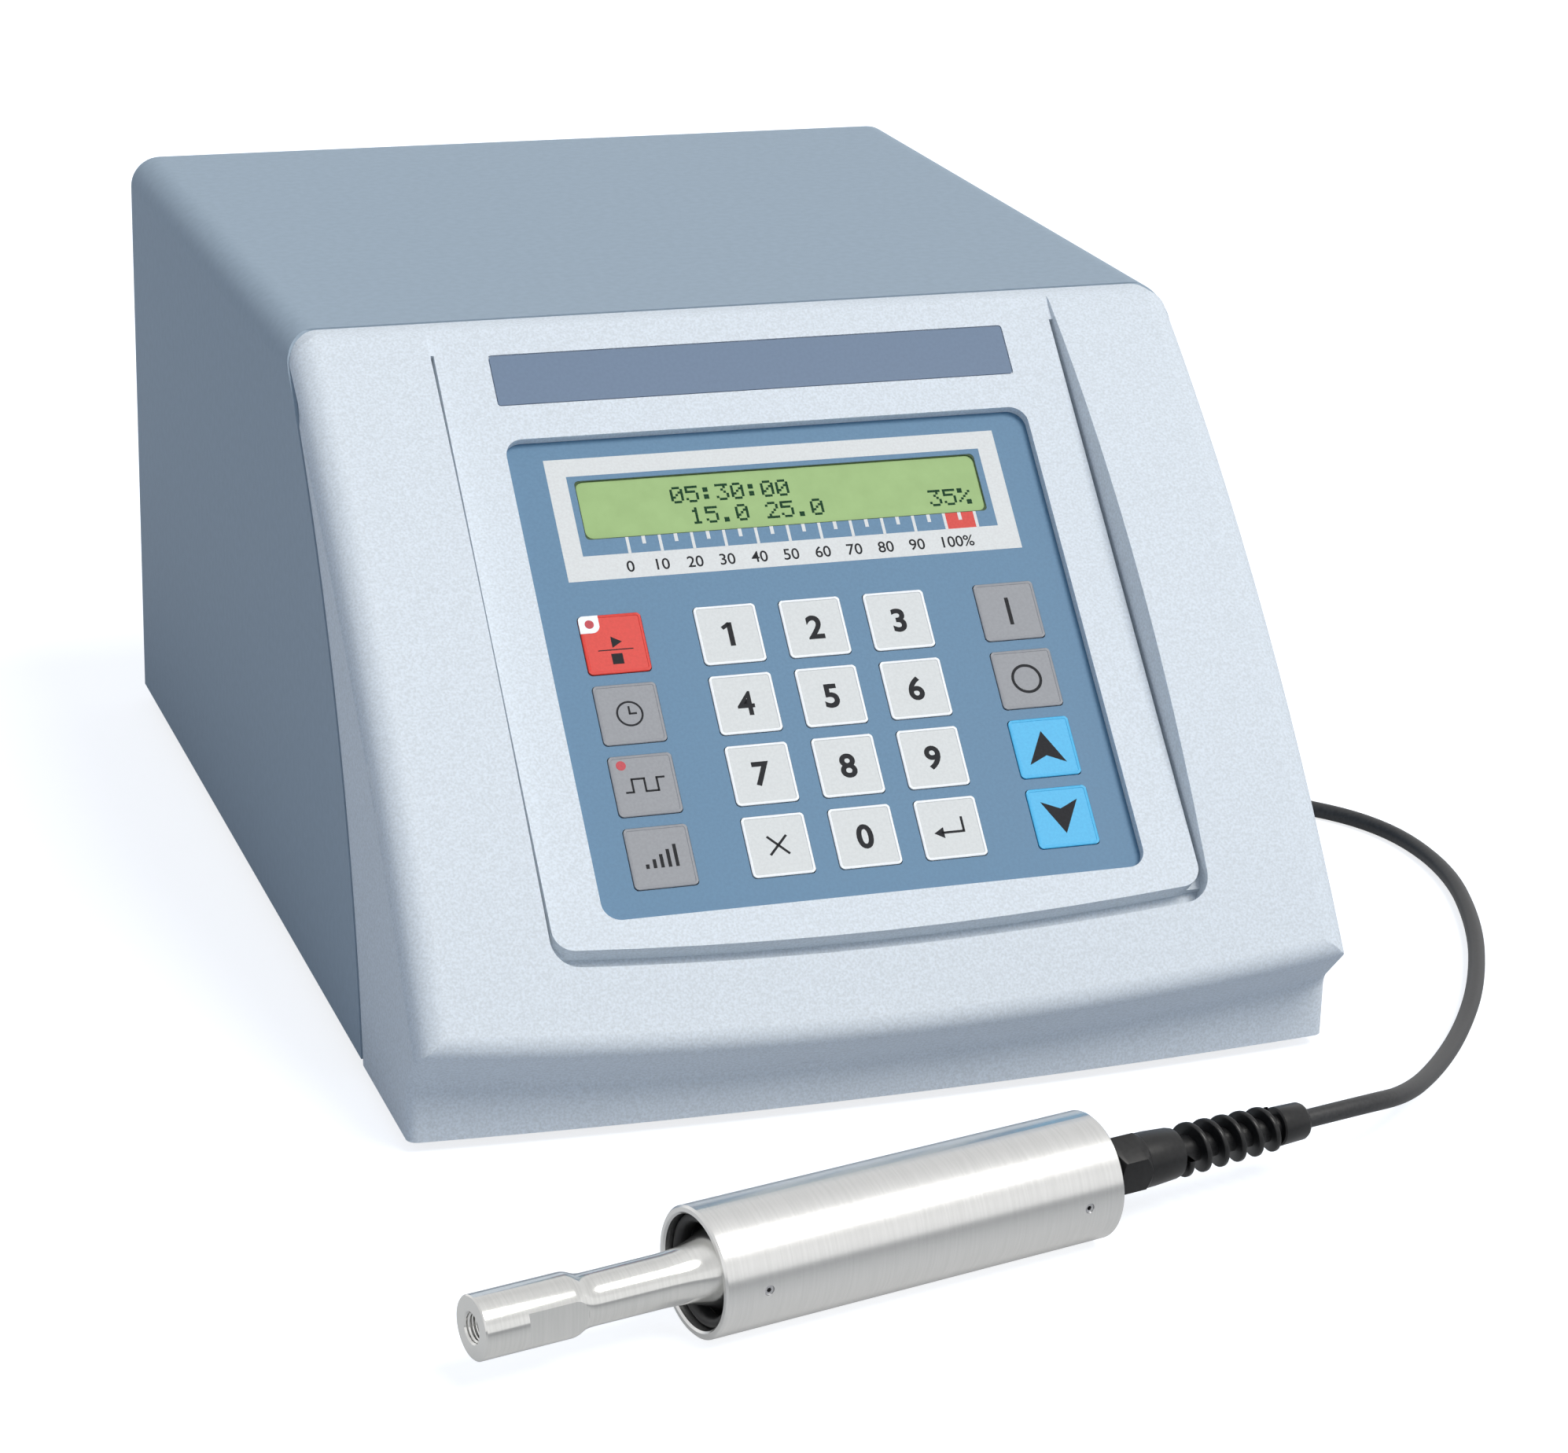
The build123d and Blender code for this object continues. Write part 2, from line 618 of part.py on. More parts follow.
# Mains module: rocker pocket at the top, fuse drawer slot, three-pin socket at the foot
flange_t = 2.5
module_face = rear_face + flange_t
rocker_z, drawer_z, pins_z = inlet_z + 29.0, inlet_z + 7.0, inlet_z - 21.0
rocker_w, rocker_h, rocker_t = 11.0, 18.0, 8.0
pocket_w, pocket_h, pocket_deep = 13.0, 20.4, 16.0
rocker_lean = 7.0
pivot_r = 1.5
pivot_y = module_face - 3.0
drawer_w, drawer_h, drawer_len = 24.0, 7.0, 24.0
pins_w, pins_h, pins_deep = 24.4, 17.0, 20.0
with BuildPart() as mains_inlet:
    with BuildSketch(Plane.XZ.offset(-module_face)):
        with Locations((inlet_x, inlet_z)):
            RectangleRounded(inlet_w, inlet_h, 2.5)
    extrude(amount=flange_t)
    with BuildSketch(Plane.XZ.offset(-rear_face)):
        with Locations((inlet_x, inlet_z)):
            Rectangle(inlet_w - 4, inlet_h - 6)
    extrude(amount=30)
    with BuildSketch(Plane.XZ.offset(-module_face)):
        with Locations((inlet_x, rocker_z)):
            Rectangle(pocket_w, pocket_h)
    extrude(amount=pocket_deep, mode=Mode.SUBTRACT)
    with BuildSketch(Plane.YZ.offset(inlet_x)):
        with Locations((pivot_y, rocker_z)):
            Circle(pivot_r + shaft_fit)
    extrude(amount=pocket_w / 2 + 1.4, both=True, mode=Mode.SUBTRACT)
    with BuildSketch(Plane.XZ.offset(-module_face)):
        with Locations((inlet_x, drawer_z)):
            Rectangle(drawer_w + 2 * module_gap, drawer_h + 2 * module_gap)
    extrude(amount=drawer_len + 0.5, mode=Mode.SUBTRACT)
    with BuildSketch(Plane.XZ.offset(-module_face)):
        with Locations((inlet_x, pins_z)):
            socket_shape = Rectangle(pins_w, pins_h)
        chamfer(socket_shape.vertices().group_by(Axis.Y)[-1], length=4.5)
    extrude(amount=pins_deep, mode=Mode.SUBTRACT)
    with BuildSketch(Plane.XZ.offset(-(module_face - pins_deep))):
        with Locations((inlet_x - 7, pins_z - 2.5), (inlet_x + 7, pins_z - 2.5), (inlet_x, pins_z + 2)):
            Rectangle(2, 4)
    extrude(amount=-14)
mains_inlet.part.label = "mains_inlet"
export_step(mains_inlet.part, "parts/mains_inlet.step")

rocker_turn = radians(rocker_lean)
rocker_plane = Plane(
    origin=(inlet_x, pivot_y, rocker_z), x_dir=(0, cos(rocker_turn), sin(rocker_turn)), z_dir=(1, 0, 0)
)
with BuildPart() as power_rocker:
    with BuildSketch(rocker_plane):
        with BuildLine():
            SagittaArc((rocker_t / 2, rocker_h / 2), (rocker_t / 2, -rocker_h / 2), 1.3)
            Polyline(
                (rocker_t / 2, -rocker_h / 2), (-rocker_t / 2, -rocker_h / 4),
                (-rocker_t / 2, rocker_h / 4), (rocker_t / 2, rocker_h / 2),
            )
        make_face()
    extrude(amount=rocker_w / 2, both=True)
    with BuildSketch(rocker_plane):
        Circle(pivot_r)
    extrude(amount=pocket_w / 2 + 1.2, both=True)
power_rocker.part.label = "power_rocker"
export_step(power_rocker.part, "parts/power_rocker.step")

with BuildPart() as fuse_drawer:
    with BuildSketch(Plane.XZ.offset(-module_face)):
        with Locations((inlet_x, drawer_z)):
            Rectangle(drawer_w, drawer_h)
    extrude(amount=drawer_len)
    with BuildSketch(Plane.XZ.offset(-module_face)):
        with Locations((inlet_x, drawer_z)):
            RectangleRounded(drawer_w + 3, drawer_h + 2, 1)
    extrude(amount=-1.6)
    with BuildSketch(Plane.XY.offset(drawer_z - drawer_h / 2 + 1)):
        for fuse_x in (-6.0, 6.0):
            with Locations((inlet_x + fuse_x, module_face - drawer_len / 2)):
                Rectangle(6, drawer_len - 4)
    extrude(amount=drawer_h, mode=Mode.SUBTRACT)
fuse_drawer.part.label = "fuse_drawer"
export_step(fuse_drawer.part, "parts/fuse_drawer.step")

# Sockets of the converter lead and of the remote switch
socket_out = 12.0
with BuildPart() as converter_socket:
    with BuildSketch(Plane.XZ.offset(-rear_face)):
        with Locations((socket_x, socket_z)):
            RegularPolygon(socket_r + 4, 6)
    extrude(amount=-2.0)
    with BuildSketch(Plane.XZ.offset(-rear_face)):
        with Locations((socket_x, socket_z)):
            Circle(socket_r - 2)
    extrude(amount=-(2.0 + socket_out))
    with BuildSketch(Plane.XZ.offset(-rear_face)):
        with Locations((socket_x, socket_z)):
            Circle(socket_r - 1)
    extrude(amount=16)
converter_socket.part.label = "converter_socket"
export_step(converter_socket.part, "parts/converter_socket.step")

with BuildPart() as remote_jack:
    with BuildSketch(Plane.XZ.offset(-rear_face)):
        with Locations((jack_x, jack_z)):
            RegularPolygon(jack_r + 1.5, 6)
    extrude(amount=-2.0)
    with BuildSketch(Plane.XZ.offset(-rear_face)):
        with Locations((jack_x, jack_z)):
            Circle(jack_r - 1.5)
    extrude(amount=-5.0)
    with BuildSketch(Plane.XZ.offset(-rear_face)):
        with Locations((jack_x, jack_z)):
            Circle(jack_r - 1.5)
    extrude(amount=14)
    with BuildSketch(Plane.XZ.offset(-(rear_face + 5.0))):
        with Locations((jack_x, jack_z)):
            Circle(1.8)
    extrude(amount=14, mode=Mode.SUBTRACT)
remote_jack.part.label = "remote_jack"
export_step(remote_jack.part, "parts/remote_jack.step")

# Inside: mains transformer, circuit board on standoffs, heat sink, tuning coil, capacitors
core_x, core_y = core_side_gap + core_w / 2 - (chassis_w / 2 - chassis_t), at_y(core_setback)
winding_w, winding_h, winding_out = core_w - 30, core_h - 24, 14.0
with BuildPart() as power_transformer:
    with BuildSketch(Plane.XY.offset(floor_top)):
        with Locations((core_x, core_y)):
            Rectangle(core_w, core_d)
    extrude(amount=core_h)
    with BuildSketch(Plane.XZ.offset(-(core_y + core_d / 2))):
        with Locations((core_x, floor_top + core_h / 2)):
            RectangleRounded(winding_w, winding_h, 6)
    extrude(amount=-winding_out)
    with BuildSketch(Plane.XZ.offset(-(core_y - core_d / 2))):
        with Locations((core_x, floor_top + core_h / 2)):
            RectangleRounded(winding_w, winding_h, 6)
    extrude(amount=winding_out)
power_transformer.part.label = "power_transformer"
export_step(power_transformer.part, "parts/power_transformer.step")

board_x = chassis_w / 2 - chassis_t - board_side_gap - board_w / 2
board_y = at_y(board_setback)
circuit_z = floor_top + standoff_h
standoff_dx, standoff_dy = board_w / 2 - standoff_in, board_d / 2 - standoff_in
with BuildPart() as board_standoffs:
    with BuildSketch(Plane.XY.offset(floor_top)):
        with Locations((board_x, board_y)):
            with GridLocations(2 * standoff_dx, 2 * standoff_dy, 2, 2):
                RegularPolygon(3.5, 6)
    extrude(amount=standoff_h)
board_standoffs.part.label = "board_standoffs"
export_step(board_standoffs.part, "parts/board_standoffs.step")

with BuildPart() as main_board:
    with BuildSketch(Plane.XY.offset(circuit_z)):
        with Locations((board_x, board_y)):
            Rectangle(board_w, board_d)
    extrude(amount=board_t)
main_board.part.label = "main_board"
export_step(main_board.part, "parts/main_board.step")

circuit_top = circuit_z + board_t
board_left = board_x - board_w / 2
sink_x, sink_y = board_x + board_w / 2 - sink_w / 2 - board_side_gap, at_y(sink_setback)
with BuildPart() as heat_sink:
    with BuildSketch(Plane.XZ.offset(-(sink_y + sink_d / 2))):
        with Locations((sink_x, circuit_top)):
            Rectangle(sink_w, 6, align=(Align.CENTER, Align.MIN))
        with Locations((sink_x, circuit_top + sink_h / 2)):
            with GridLocations((sink_w - 3) / (sink_fins - 1), 0, sink_fins, 1):
                Rectangle(3, sink_h)
    extrude(amount=sink_d)
heat_sink.part.label = "heat_sink"
export_step(heat_sink.part, "parts/heat_sink.step")

with BuildPart() as tuning_coil:
    with BuildSketch(Plane.XY.offset(circuit_top)):
        with Locations((board_left + coil_core_r + board_side_gap, board_y + 30)):
            Circle(coil_core_r)
            Circle(coil_hole_r, mode=Mode.SUBTRACT)
    extrude(amount=coil_tall)
    fillet(tuning_coil.edges().filter_by(GeomType.CIRCLE), radius=3)
tuning_coil.part.label = "tuning_coil"
export_step(tuning_coil.part, "parts/tuning_coil.step")

with BuildPart() as capacitors:
    with BuildSketch(Plane.XY.offset(circuit_top)):
        with Locations((board_left + board_side_gap + can_r + can_pitch, board_y - 40)):
            with GridLocations(can_pitch, 0, can_count, 1):
                Circle(can_r)
    extrude(amount=can_tall)
capacitors.part.label = "capacitors"
export_step(capacitors.part, "parts/capacitors.step")

# Converter, turned about its own axis, which lies a housing radius above the bench
axis_turn = radians(converter_turn)
along = Vector(cos(axis_turn), sin(axis_turn), 0)
sideways = Vector(sin(axis_turn), -cos(axis_turn), 0)
tip_place = Vector(tip_at[0], at_y(tip_at[1]), housing_r)
section = Plane(origin=tip_place, x_dir=along, z_dir=sideways)
turning = Axis(tip_place, along)
neck_end = tip_len + neck_len
driver_start = housing_start + 2.0
driver_end = driver_start + driver_len
flange_start, flange_w = driver_start + 9.0, 4.0
flange_out = housing_bore - 0.3
with BuildPart() as front_driver:
    with BuildSketch(section):
        with BuildLine():
            Polyline(
                (thread_len, 0), (thread_len, thread_r), (0.8, thread_r), (0, thread_r + 0.8),
                (0, tip_r - 0.8), (0.8, tip_r), (tip_len - 1.0, tip_r), (tip_len, tip_r - 1.0),
                (tip_len + 2.0, neck_r), (neck_end, neck_r),
            )
            Spline(
                (neck_end, neck_r), (housing_start, flare_r),
                tangents=((1, 0), (0.35, 1)),
            )
            Polyline(
                (housing_start, flare_r), (driver_start, driver_r), (flange_start, driver_r),
                (flange_start, flange_out), (flange_start + flange_w, flange_out),
                (flange_start + flange_w, driver_r), (driver_end, driver_r), (driver_end, 0),
                (thread_len, 0),
            )
        make_face()
    revolve(axis=turning)
    for side in (-1, 1):
        with BuildSketch(section.offset(side * flat_w / 2)):
            with Locations(((flat_start + tip_len) / 2 + 1, 0)):
                Rectangle(tip_len - flat_start + 2, 2 * tip_r)
        extrude(amount=side * 5, mode=Mode.SUBTRACT)
front_driver.part.label = "front_driver"
export_step(front_driver.part, "parts/front_driver.step")

stack_end = driver_end + crystal_count * crystal_t
crystal_gap = 0.2
with BuildPart() as piezo_rings:
    for ring in range(crystal_count):
        with BuildSketch(section):
            with Locations((driver_end + (ring + 0.5) * crystal_t, (crystal_r + bolt_r + 0.3) / 2)):
                Rectangle(crystal_t - crystal_gap, crystal_r - bolt_r - 0.3)
        revolve(axis=turning)
piezo_rings.part.label = "piezo_rings"
export_step(piezo_rings.part, "parts/piezo_rings.step")

with BuildPart() as back_mass:
    with BuildSketch(section):
        with Locations((stack_end + back_len / 2, (crystal_r + bolt_r + 0.3) / 2)):
            Rectangle(back_len, crystal_r - bolt_r - 0.3)
    revolve(axis=turning)
back_mass.part.label = "back_mass"
export_step(back_mass.part, "parts/back_mass.step")

with BuildPart() as stack_bolt:
    with BuildSketch(section):
        Polygon(
            (driver_end, 0), (driver_end, bolt_r), (stack_end + back_len, bolt_r),
            (stack_end + back_len, 7), (stack_end + back_len + 6, 7), (stack_end + back_len + 6, 0),
            align=None,
        )
    revolve(axis=turning)
stack_bolt.part.label = "stack_bolt"
export_step(stack_bolt.part, "parts/stack_bolt.step")

with BuildPart() as o_rings:
    for ring_x in (flange_start - 3.2, flange_start + flange_w + 0.2):
        with BuildSketch(section):
            with Locations((ring_x + 1.5, (driver_r + housing_bore) / 2)):
                RectangleRounded(3.0, housing_bore - driver_r - 0.3, 0.5)
        revolve(axis=turning)
o_rings.part.label = "o_rings"
export_step(o_rings.part, "parts/o_rings.step")

housing_end = housing_start + housing_len
screw_back, screw_front = 12.5, 13.5
set_r = 1.5
with BuildPart() as converter_housing:
    with BuildSketch(section):
        Polygon(
            (housing_start, housing_bore + 0.6), (housing_start, housing_r - 0.6),
            (housing_start + 0.6, housing_r), (housing_end - 0.6, housing_r),
            (housing_end, housing_r - 0.6), (housing_end, housing_bore),
            (housing_start + 0.6, housing_bore), align=None,
        )
    revolve(axis=turning)
    for place_x in (housing_start + screw_front, housing_end - screw_back):
        for third in range(3):
            turn = 2 * pi * third / 3
            spoke = sideways * cos(turn) + Vector(0, 0, 1) * sin(turn)
            hole_start = tip_place + along * place_x + spoke * (housing_bore - 2)
            with BuildSketch(Plane(origin=hole_start, x_dir=along, z_dir=spoke)):
                Circle(set_r + shaft_fit)
            extrude(amount=8, mode=Mode.SUBTRACT)
converter_housing.part.label = "converter_housing"
export_step(converter_housing.part, "parts/converter_housing.step")

cap_fit = 0.1
cap_start = housing_end - cap_t - screw_back
with BuildPart() as end_cap:
    with BuildSketch(section):
        Polygon(
            (cap_start, 0), (cap_start, housing_bore - cap_fit), (housing_end, housing_bore - cap_fit),
            (housing_end, 0), align=None,
        )
    revolve(axis=turning)
end_cap.part.label = "end_cap"
export_step(end_cap.part, "parts/end_cap.step")

with BuildPart() as set_screws:
    for place_x, sink in ((housing_start + screw_front, 0.4), (housing_end - screw_back, 0.4)):
        for third in range(3):
            turn = 2 * pi * third / 3
            spoke = sideways * cos(turn) + Vector(0, 0, 1) * sin(turn)
            seat = tip_place + along * place_x + spoke * (housing_bore + 0.1)
            with BuildSketch(Plane(origin=seat, x_dir=along, z_dir=spoke)):
                Circle(set_r)
                RegularPolygon(0.75, 6, mode=Mode.SUBTRACT)
            extrude(amount=housing_r - housing_bore - 0.1 - sink)
set_screws.part.label = "set_screws"
export_step(set_screws.part, "parts/set_screws.step")

# Cable gland screwed into the end cap, and the finned strain relief on it
hex_start = housing_end + thread_ring
relief_start = hex_start + hex_len
with BuildPart() as cable_gland:
    with BuildSketch(section):
        Polygon(
            (housing_end, 0), (housing_end, gland_r), (hex_start, gland_r), (hex_start, 0), align=None,
        )
    revolve(axis=turning)
    with BuildSketch(Plane(origin=tip_place + along * hex_start, x_dir=(0, 0, 1), z_dir=along)):
        RegularPolygon(hex_flats / 2, 6, major_radius=False)
    extrude(amount=hex_len)
    chamfer(cable_gland.faces().sort_by(Axis(tip_place, along))[-1].edges(), length=0.8)
cable_gland.part.label = "cable_gland"
export_step(cable_gland.part, "parts/cable_gland.step")

relief_end = relief_start + dome_len + relief_len
fin_pitch = (relief_len - 10.0) / fin_count
with BuildPart() as strain_relief:
    with BuildSketch(section):
        with BuildLine():
            Polyline((relief_end, 0), (relief_start, 0), (relief_start, hex_flats / 2 - 0.4))
            Line((relief_start, hex_flats / 2 - 0.4), (relief_start + 6, hex_flats / 2 - 0.6))
            Spline(
                (relief_start + 6, hex_flats / 2 - 0.6), (relief_start + dome_len, relief_core),
                tangents=((1, 0), (0.2, -1)),
            )
            Polyline(
                (relief_start + dome_len, relief_core), (relief_end - 10.0, relief_core),
                (relief_end - 10.0, 5.6), (relief_end, 5.0), (relief_end, 0),
            )
        make_face()
    revolve(axis=turning)
    for fin in range(fin_count):
        fin_x = relief_start + dome_len + (fin + 0.3) * fin_pitch
        fin_r = relief_fin - 0.25 * fin
        with BuildSketch(section):
            with Locations((fin_x, fin_r / 2)):
                Rectangle(3.0, fin_r)
        revolve(axis=turning)
strain_relief.part.label = "strain_relief"
export_step(strain_relief.part, "parts/strain_relief.step")

# Plug of the lead, on the generator's rear socket
plug_start = rear_face + 2.3
plug_end = rear_face + plug_len
plug_plane = Plane(origin=(socket_x, 0, socket_z), x_dir=(0, 1, 0), z_dir=(1, 0, 0))
with BuildPart() as cable_plug:
    with BuildSketch(plug_plane):
        with BuildLine():
            Polyline(
                (plug_start, socket_r - 1.7), (plug_start, socket_r + 1.5),
                (plug_start + 14, socket_r + 1.5), (plug_start + 14, socket_r - 0.5),
                (plug_start + 24, socket_r - 2), (plug_start + 27, 6.2), (plug_end, 3.9), (plug_end, 0),
                (rear_face + 2.3 + socket_out, 0), (rear_face + 2.3 + socket_out, socket_r - 1.7),
                (plug_start, socket_r - 1.7),
            )
        make_face()
    revolve(axis=Axis((socket_x, 0, socket_z), (0, 1, 0)))
cable_plug.part.label = "cable_plug"
export_step(cable_plug.part, "parts/cable_plug.step")

# Lead: from the converter along the bench to a neat coil behind the case, then to the plug
cable_r = cable_d / 2
lead_start = tip_place + along * relief_end
coil_out_r = coil_mid_r + cable_d / 2
coil_in_r = coil_mid_r - cable_d / 2
clear_r = coil_mid_r + cable_d + cable_r
entry_run = sqrt(clear_r ** 2 - coil_out_r ** 2) + 2
exit_run = sqrt(clear_r ** 2 - coil_in_r ** 2) + 2
coil_slack = 0.1
coil_low = cable_r + coil_slack
coil_top = coil_low + 2 * (coil_layers - 1) * cable_r
coil_y0 = at_y(coil_y)
lead_points = [
    lead_start,
    lead_start + along * 24,
    Vector(147, at_y(-70), 14.5),
    Vector(173, at_y(-41), 8.0),
    Vector(199, at_y(-8), 3.6),
    Vector(223, at_y(27), cable_r),
    Vector(246, at_y(72), cable_r),
    Vector(262, at_y(124), cable_r),
    Vector(258, at_y(172), cable_r),
    Vector(228, at_y(205), cable_r),
    Vector(201, at_y(245), cable_r),
    Vector(192, at_y(300), cable_r),
    Vector(189, at_y(358), cable_r),
    Vector(190, at_y(416), cable_r),
    Vector(180, at_y(468), cable_r),
    Vector(158, at_y(503), cable_r),
    Vector(127, coil_y0 + coil_out_r, coil_low),
    Vector(coil_x + entry_run, coil_y0 + coil_out_r, coil_low),
]
tail_points = [
    Vector(coil_x - exit_run, coil_y0 + coil_in_r, coil_top),
    Vector(coil_x - exit_run - 20, coil_y0 + coil_in_r, coil_top),
    Vector(-2, coil_y0 + coil_in_r - 1, 28.0),
    Vector(-17, coil_y0 + 15, 48.0),
    Vector(socket_x, plug_end + 24, socket_z),
    Vector(socket_x, plug_end, socket_z),
]


def corner_radii(points):
    """Arc radius at each inner point: 0.45 of the shorter run over the tangent of half the turn."""
    radii = []
    for before, here, after in zip(points, points[1:], points[2:]):
        first, second = here - before, after - here
        half_turn = radians(first.get_angle(second)) / 2
        radii.append(0.45 * min(first.length, second.length) / tan(half_turn))
    return radii


def tube(points):
    radii = corner_radii(points)
    print("radii", [round(r) for r in radii])
    with BuildPart() as run:
        with BuildLine() as path:
            FilletPolyline(*points, radius=radii)
        with BuildSketch(Plane(origin=path.line @ 0, z_dir=path.line % 0)):
            Circle(cable_r)
        sweep()
    length = path.wire().length
    print("length", round(length, 1), "volume share", round(run.part.volume / (length * pi * cable_r ** 2), 4))
    return run.part


converter_cable = tube(lead_points)
converter_cable.label = "converter_cable"
export_step(converter_cable, "parts/converter_cable.step")
cable_tail = tube(tail_points)
cable_tail.label = "cable_tail"
export_step(cable_tail, "parts/cable_tail.step")

with BuildPart() as cable_coil:
    with BuildSketch(Plane(origin=(coil_x, coil_y0, 0), x_dir=(1, 0, 0), z_dir=(0, -1, 0))):
        with Locations((coil_mid_r, coil_layers * cable_r + coil_slack)):
            RectangleRounded(2 * (cable_d + coil_slack), coil_layers * cable_d + 2 * coil_slack, 0.9 * cable_r)
    revolve(axis=Axis((coil_x, coil_y0, 0), (0, 0, 1)))
    with BuildSketch(Plane.YZ.offset(coil_x)):
        with Locations((coil_y0 + coil_out_r, coil_low)):
            Circle(cable_r)
    extrude(amount=entry_run)
    with BuildSketch(Plane.YZ.offset(coil_x)):
        with Locations((coil_y0 + coil_in_r, coil_top)):
            Circle(cable_r)
    extrude(amount=-exit_run)
cable_coil.part.label = "cable_coil"
export_step(cable_coil.part, "parts/cable_coil.step")
print("coil length", round(coil_layers * 2 * pi * (coil_out_r + coil_in_r), 1))
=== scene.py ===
# %% [markdown]
# # A probe sonicator: bench generator, hand-held converter and its lead
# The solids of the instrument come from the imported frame. This file gives them their
# finishes, and makes the pieces whose shape a plain solid can't hold: the printed keypad,
# the dotted display, the spiral strain relief, the gland and the lead.

# %% Load the frame
import math

import bmesh
import bpy
from mathutils import Matrix, Vector


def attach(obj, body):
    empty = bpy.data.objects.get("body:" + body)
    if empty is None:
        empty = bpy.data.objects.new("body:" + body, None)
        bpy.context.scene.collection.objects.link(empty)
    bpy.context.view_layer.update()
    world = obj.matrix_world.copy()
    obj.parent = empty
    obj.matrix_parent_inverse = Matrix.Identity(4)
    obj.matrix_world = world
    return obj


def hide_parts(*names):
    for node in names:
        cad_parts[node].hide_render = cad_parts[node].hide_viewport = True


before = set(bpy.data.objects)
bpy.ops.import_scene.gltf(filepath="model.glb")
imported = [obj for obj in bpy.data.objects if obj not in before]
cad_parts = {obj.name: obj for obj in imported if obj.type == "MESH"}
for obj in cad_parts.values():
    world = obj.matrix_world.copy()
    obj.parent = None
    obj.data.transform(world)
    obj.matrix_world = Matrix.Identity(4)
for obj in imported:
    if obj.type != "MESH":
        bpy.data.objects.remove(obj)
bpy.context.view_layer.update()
mm = 0.001

# %% [markdown]
# ## Camera
# The photograph was taken from the front left, a little above the instrument, with a long
# lens. A camera in Blender looks along its own -Z, so its matrix is built from three
# directions: right, up and the opposite of the way it looks.

# %% Camera
yaw, pitch, roll = math.radians(-19.252), math.radians(19.793), math.radians(1.575)
look = Vector((-math.sin(yaw) * math.cos(pitch), math.cos(yaw) * math.cos(pitch), -math.sin(pitch)))
level_right = Vector((math.cos(yaw), math.sin(yaw), 0))
level_up = level_right.cross(look)
right = math.cos(roll) * level_right + math.sin(roll) * level_up
up = -math.sin(roll) * level_right + math.cos(roll) * level_up
bpy.ops.object.camera_add(location=(-0.42254, -1.32214, 0.54956))
camera = bpy.context.object
camera.rotation_mode = "QUATERNION"
camera.rotation_quaternion = Matrix((right, up, -look)).transposed().to_quaternion()
camera.data.sensor_width = 36.0
focal_pixels, photo_width = 5266.18, 1994
camera.data.lens = camera.data.sensor_width * focal_pixels / photo_width
camera.data.clip_start = 0.05
bpy.context.scene.camera = camera
print("lens", round(camera.data.lens, 2))

# %% [markdown]
# ## Lead
# A flexible lead has no straight lines and no corners. A NURBS curve with its points near
# the route's corners runs smoothly between them, and its bevel gives it its thickness.
# Where it isn't seen, the lead is wound into a neat coil of three layers. Each point holds
# the lead's radius and the bevel is 1, so that the curve's own box is as tight as the lead.

# %% Lead
lead_r = 2.9
axis_turn = math.radians(12.2)
along = Vector((math.cos(axis_turn), math.sin(axis_turn), 0))
sideways = Vector((math.sin(axis_turn), -math.cos(axis_turn), 0))
tip_place = Vector((-171.0, -361.0, 19.05))
relief_end = 279.9
lead_start = tip_place + along * relief_end
coil_x, coil_y, coil_mid = 75.0, 272.0, 29.0
coil_low, layer_step = 3.0, 2 * lead_r
out_r, in_r = coil_mid + lead_r, coil_mid - lead_r
route = [
    lead_start,
    lead_start + along * 24,
    Vector((147, -285, 14.5)),
    Vector((173, -256, 8.0)),
    Vector((199, -223, 3.6)),
    Vector((223, -188, lead_r)),
    Vector((246, -143, lead_r)),
    Vector((262, -91, lead_r)),
    Vector((258, -43, lead_r)),
    Vector((228, -10, lead_r)),
    Vector((201, 30, lead_r)),
    Vector((192, 85, lead_r)),
    Vector((189, 143, lead_r)),
    Vector((190, 201, lead_r)),
    Vector((180, 253, lead_r)),
    Vector((158, 288, lead_r)),
    Vector((127, coil_y + out_r, coil_low)),
    Vector((98, coil_y + out_r, coil_low)),
]
turns_per_layer = [(out_r, 0), (in_r, 0), (in_r, 1), (out_r, 1), (out_r, 2), (in_r, 2)]
points_per_turn = 16
for turn, (ring_r, layer) in enumerate(turns_per_layer):
    for step in range(points_per_turn):
        angle = math.pi / 2 + 2 * math.pi * step / points_per_turn
        following = turns_per_layer[min(turn + 1, len(turns_per_layer) - 1)]
        blend = max(0.0, (step - points_per_turn + 4) / 4)
        radius = (ring_r + (following[0] - ring_r) * blend) / math.cos(math.pi / points_per_turn)
        height = coil_low + layer_step * (layer + (following[1] - layer) * blend)
        route.append(Vector((
            coil_x + radius * math.cos(angle), coil_y + radius * math.sin(angle), height
        )))
coil_top = coil_low + 2 * layer_step
socket_x, socket_z, plug_end = -20.0, 60.0, 250.0
route += [
    Vector((coil_x, coil_y + in_r, coil_top)),
    Vector((46, coil_y + in_r, coil_top)),
    Vector((26, coil_y + in_r, coil_top)),
    Vector((-2, coil_y + in_r - 1, 28)),
    Vector((-17, coil_y + 15, 48)),
    Vector((socket_x, plug_end + 24, socket_z)),
    Vector((socket_x, plug_end, socket_z)),
]
lead_curve = bpy.data.curves.new("lead", "CURVE")
lead_curve.dimensions = "3D"
spline = lead_curve.splines.new("NURBS")
spline.points.add(len(route) - 1)
for point, place in zip(spline.points, route):
    point.co = (*(place * mm), 1)
    point.radius = lead_r * mm
spline.order_u = 3
spline.use_endpoint_u = True
spline.resolution_u = 8
lead_curve.bevel_depth = 1.0
lead_curve.bevel_resolution = 6
lead_curve.use_fill_caps = True
lead = bpy.data.objects.new("lead", lead_curve)
bpy.context.collection.objects.link(lead)
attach(lead, "generator")
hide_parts("converter_cable", "cable_coil", "cable_tail")
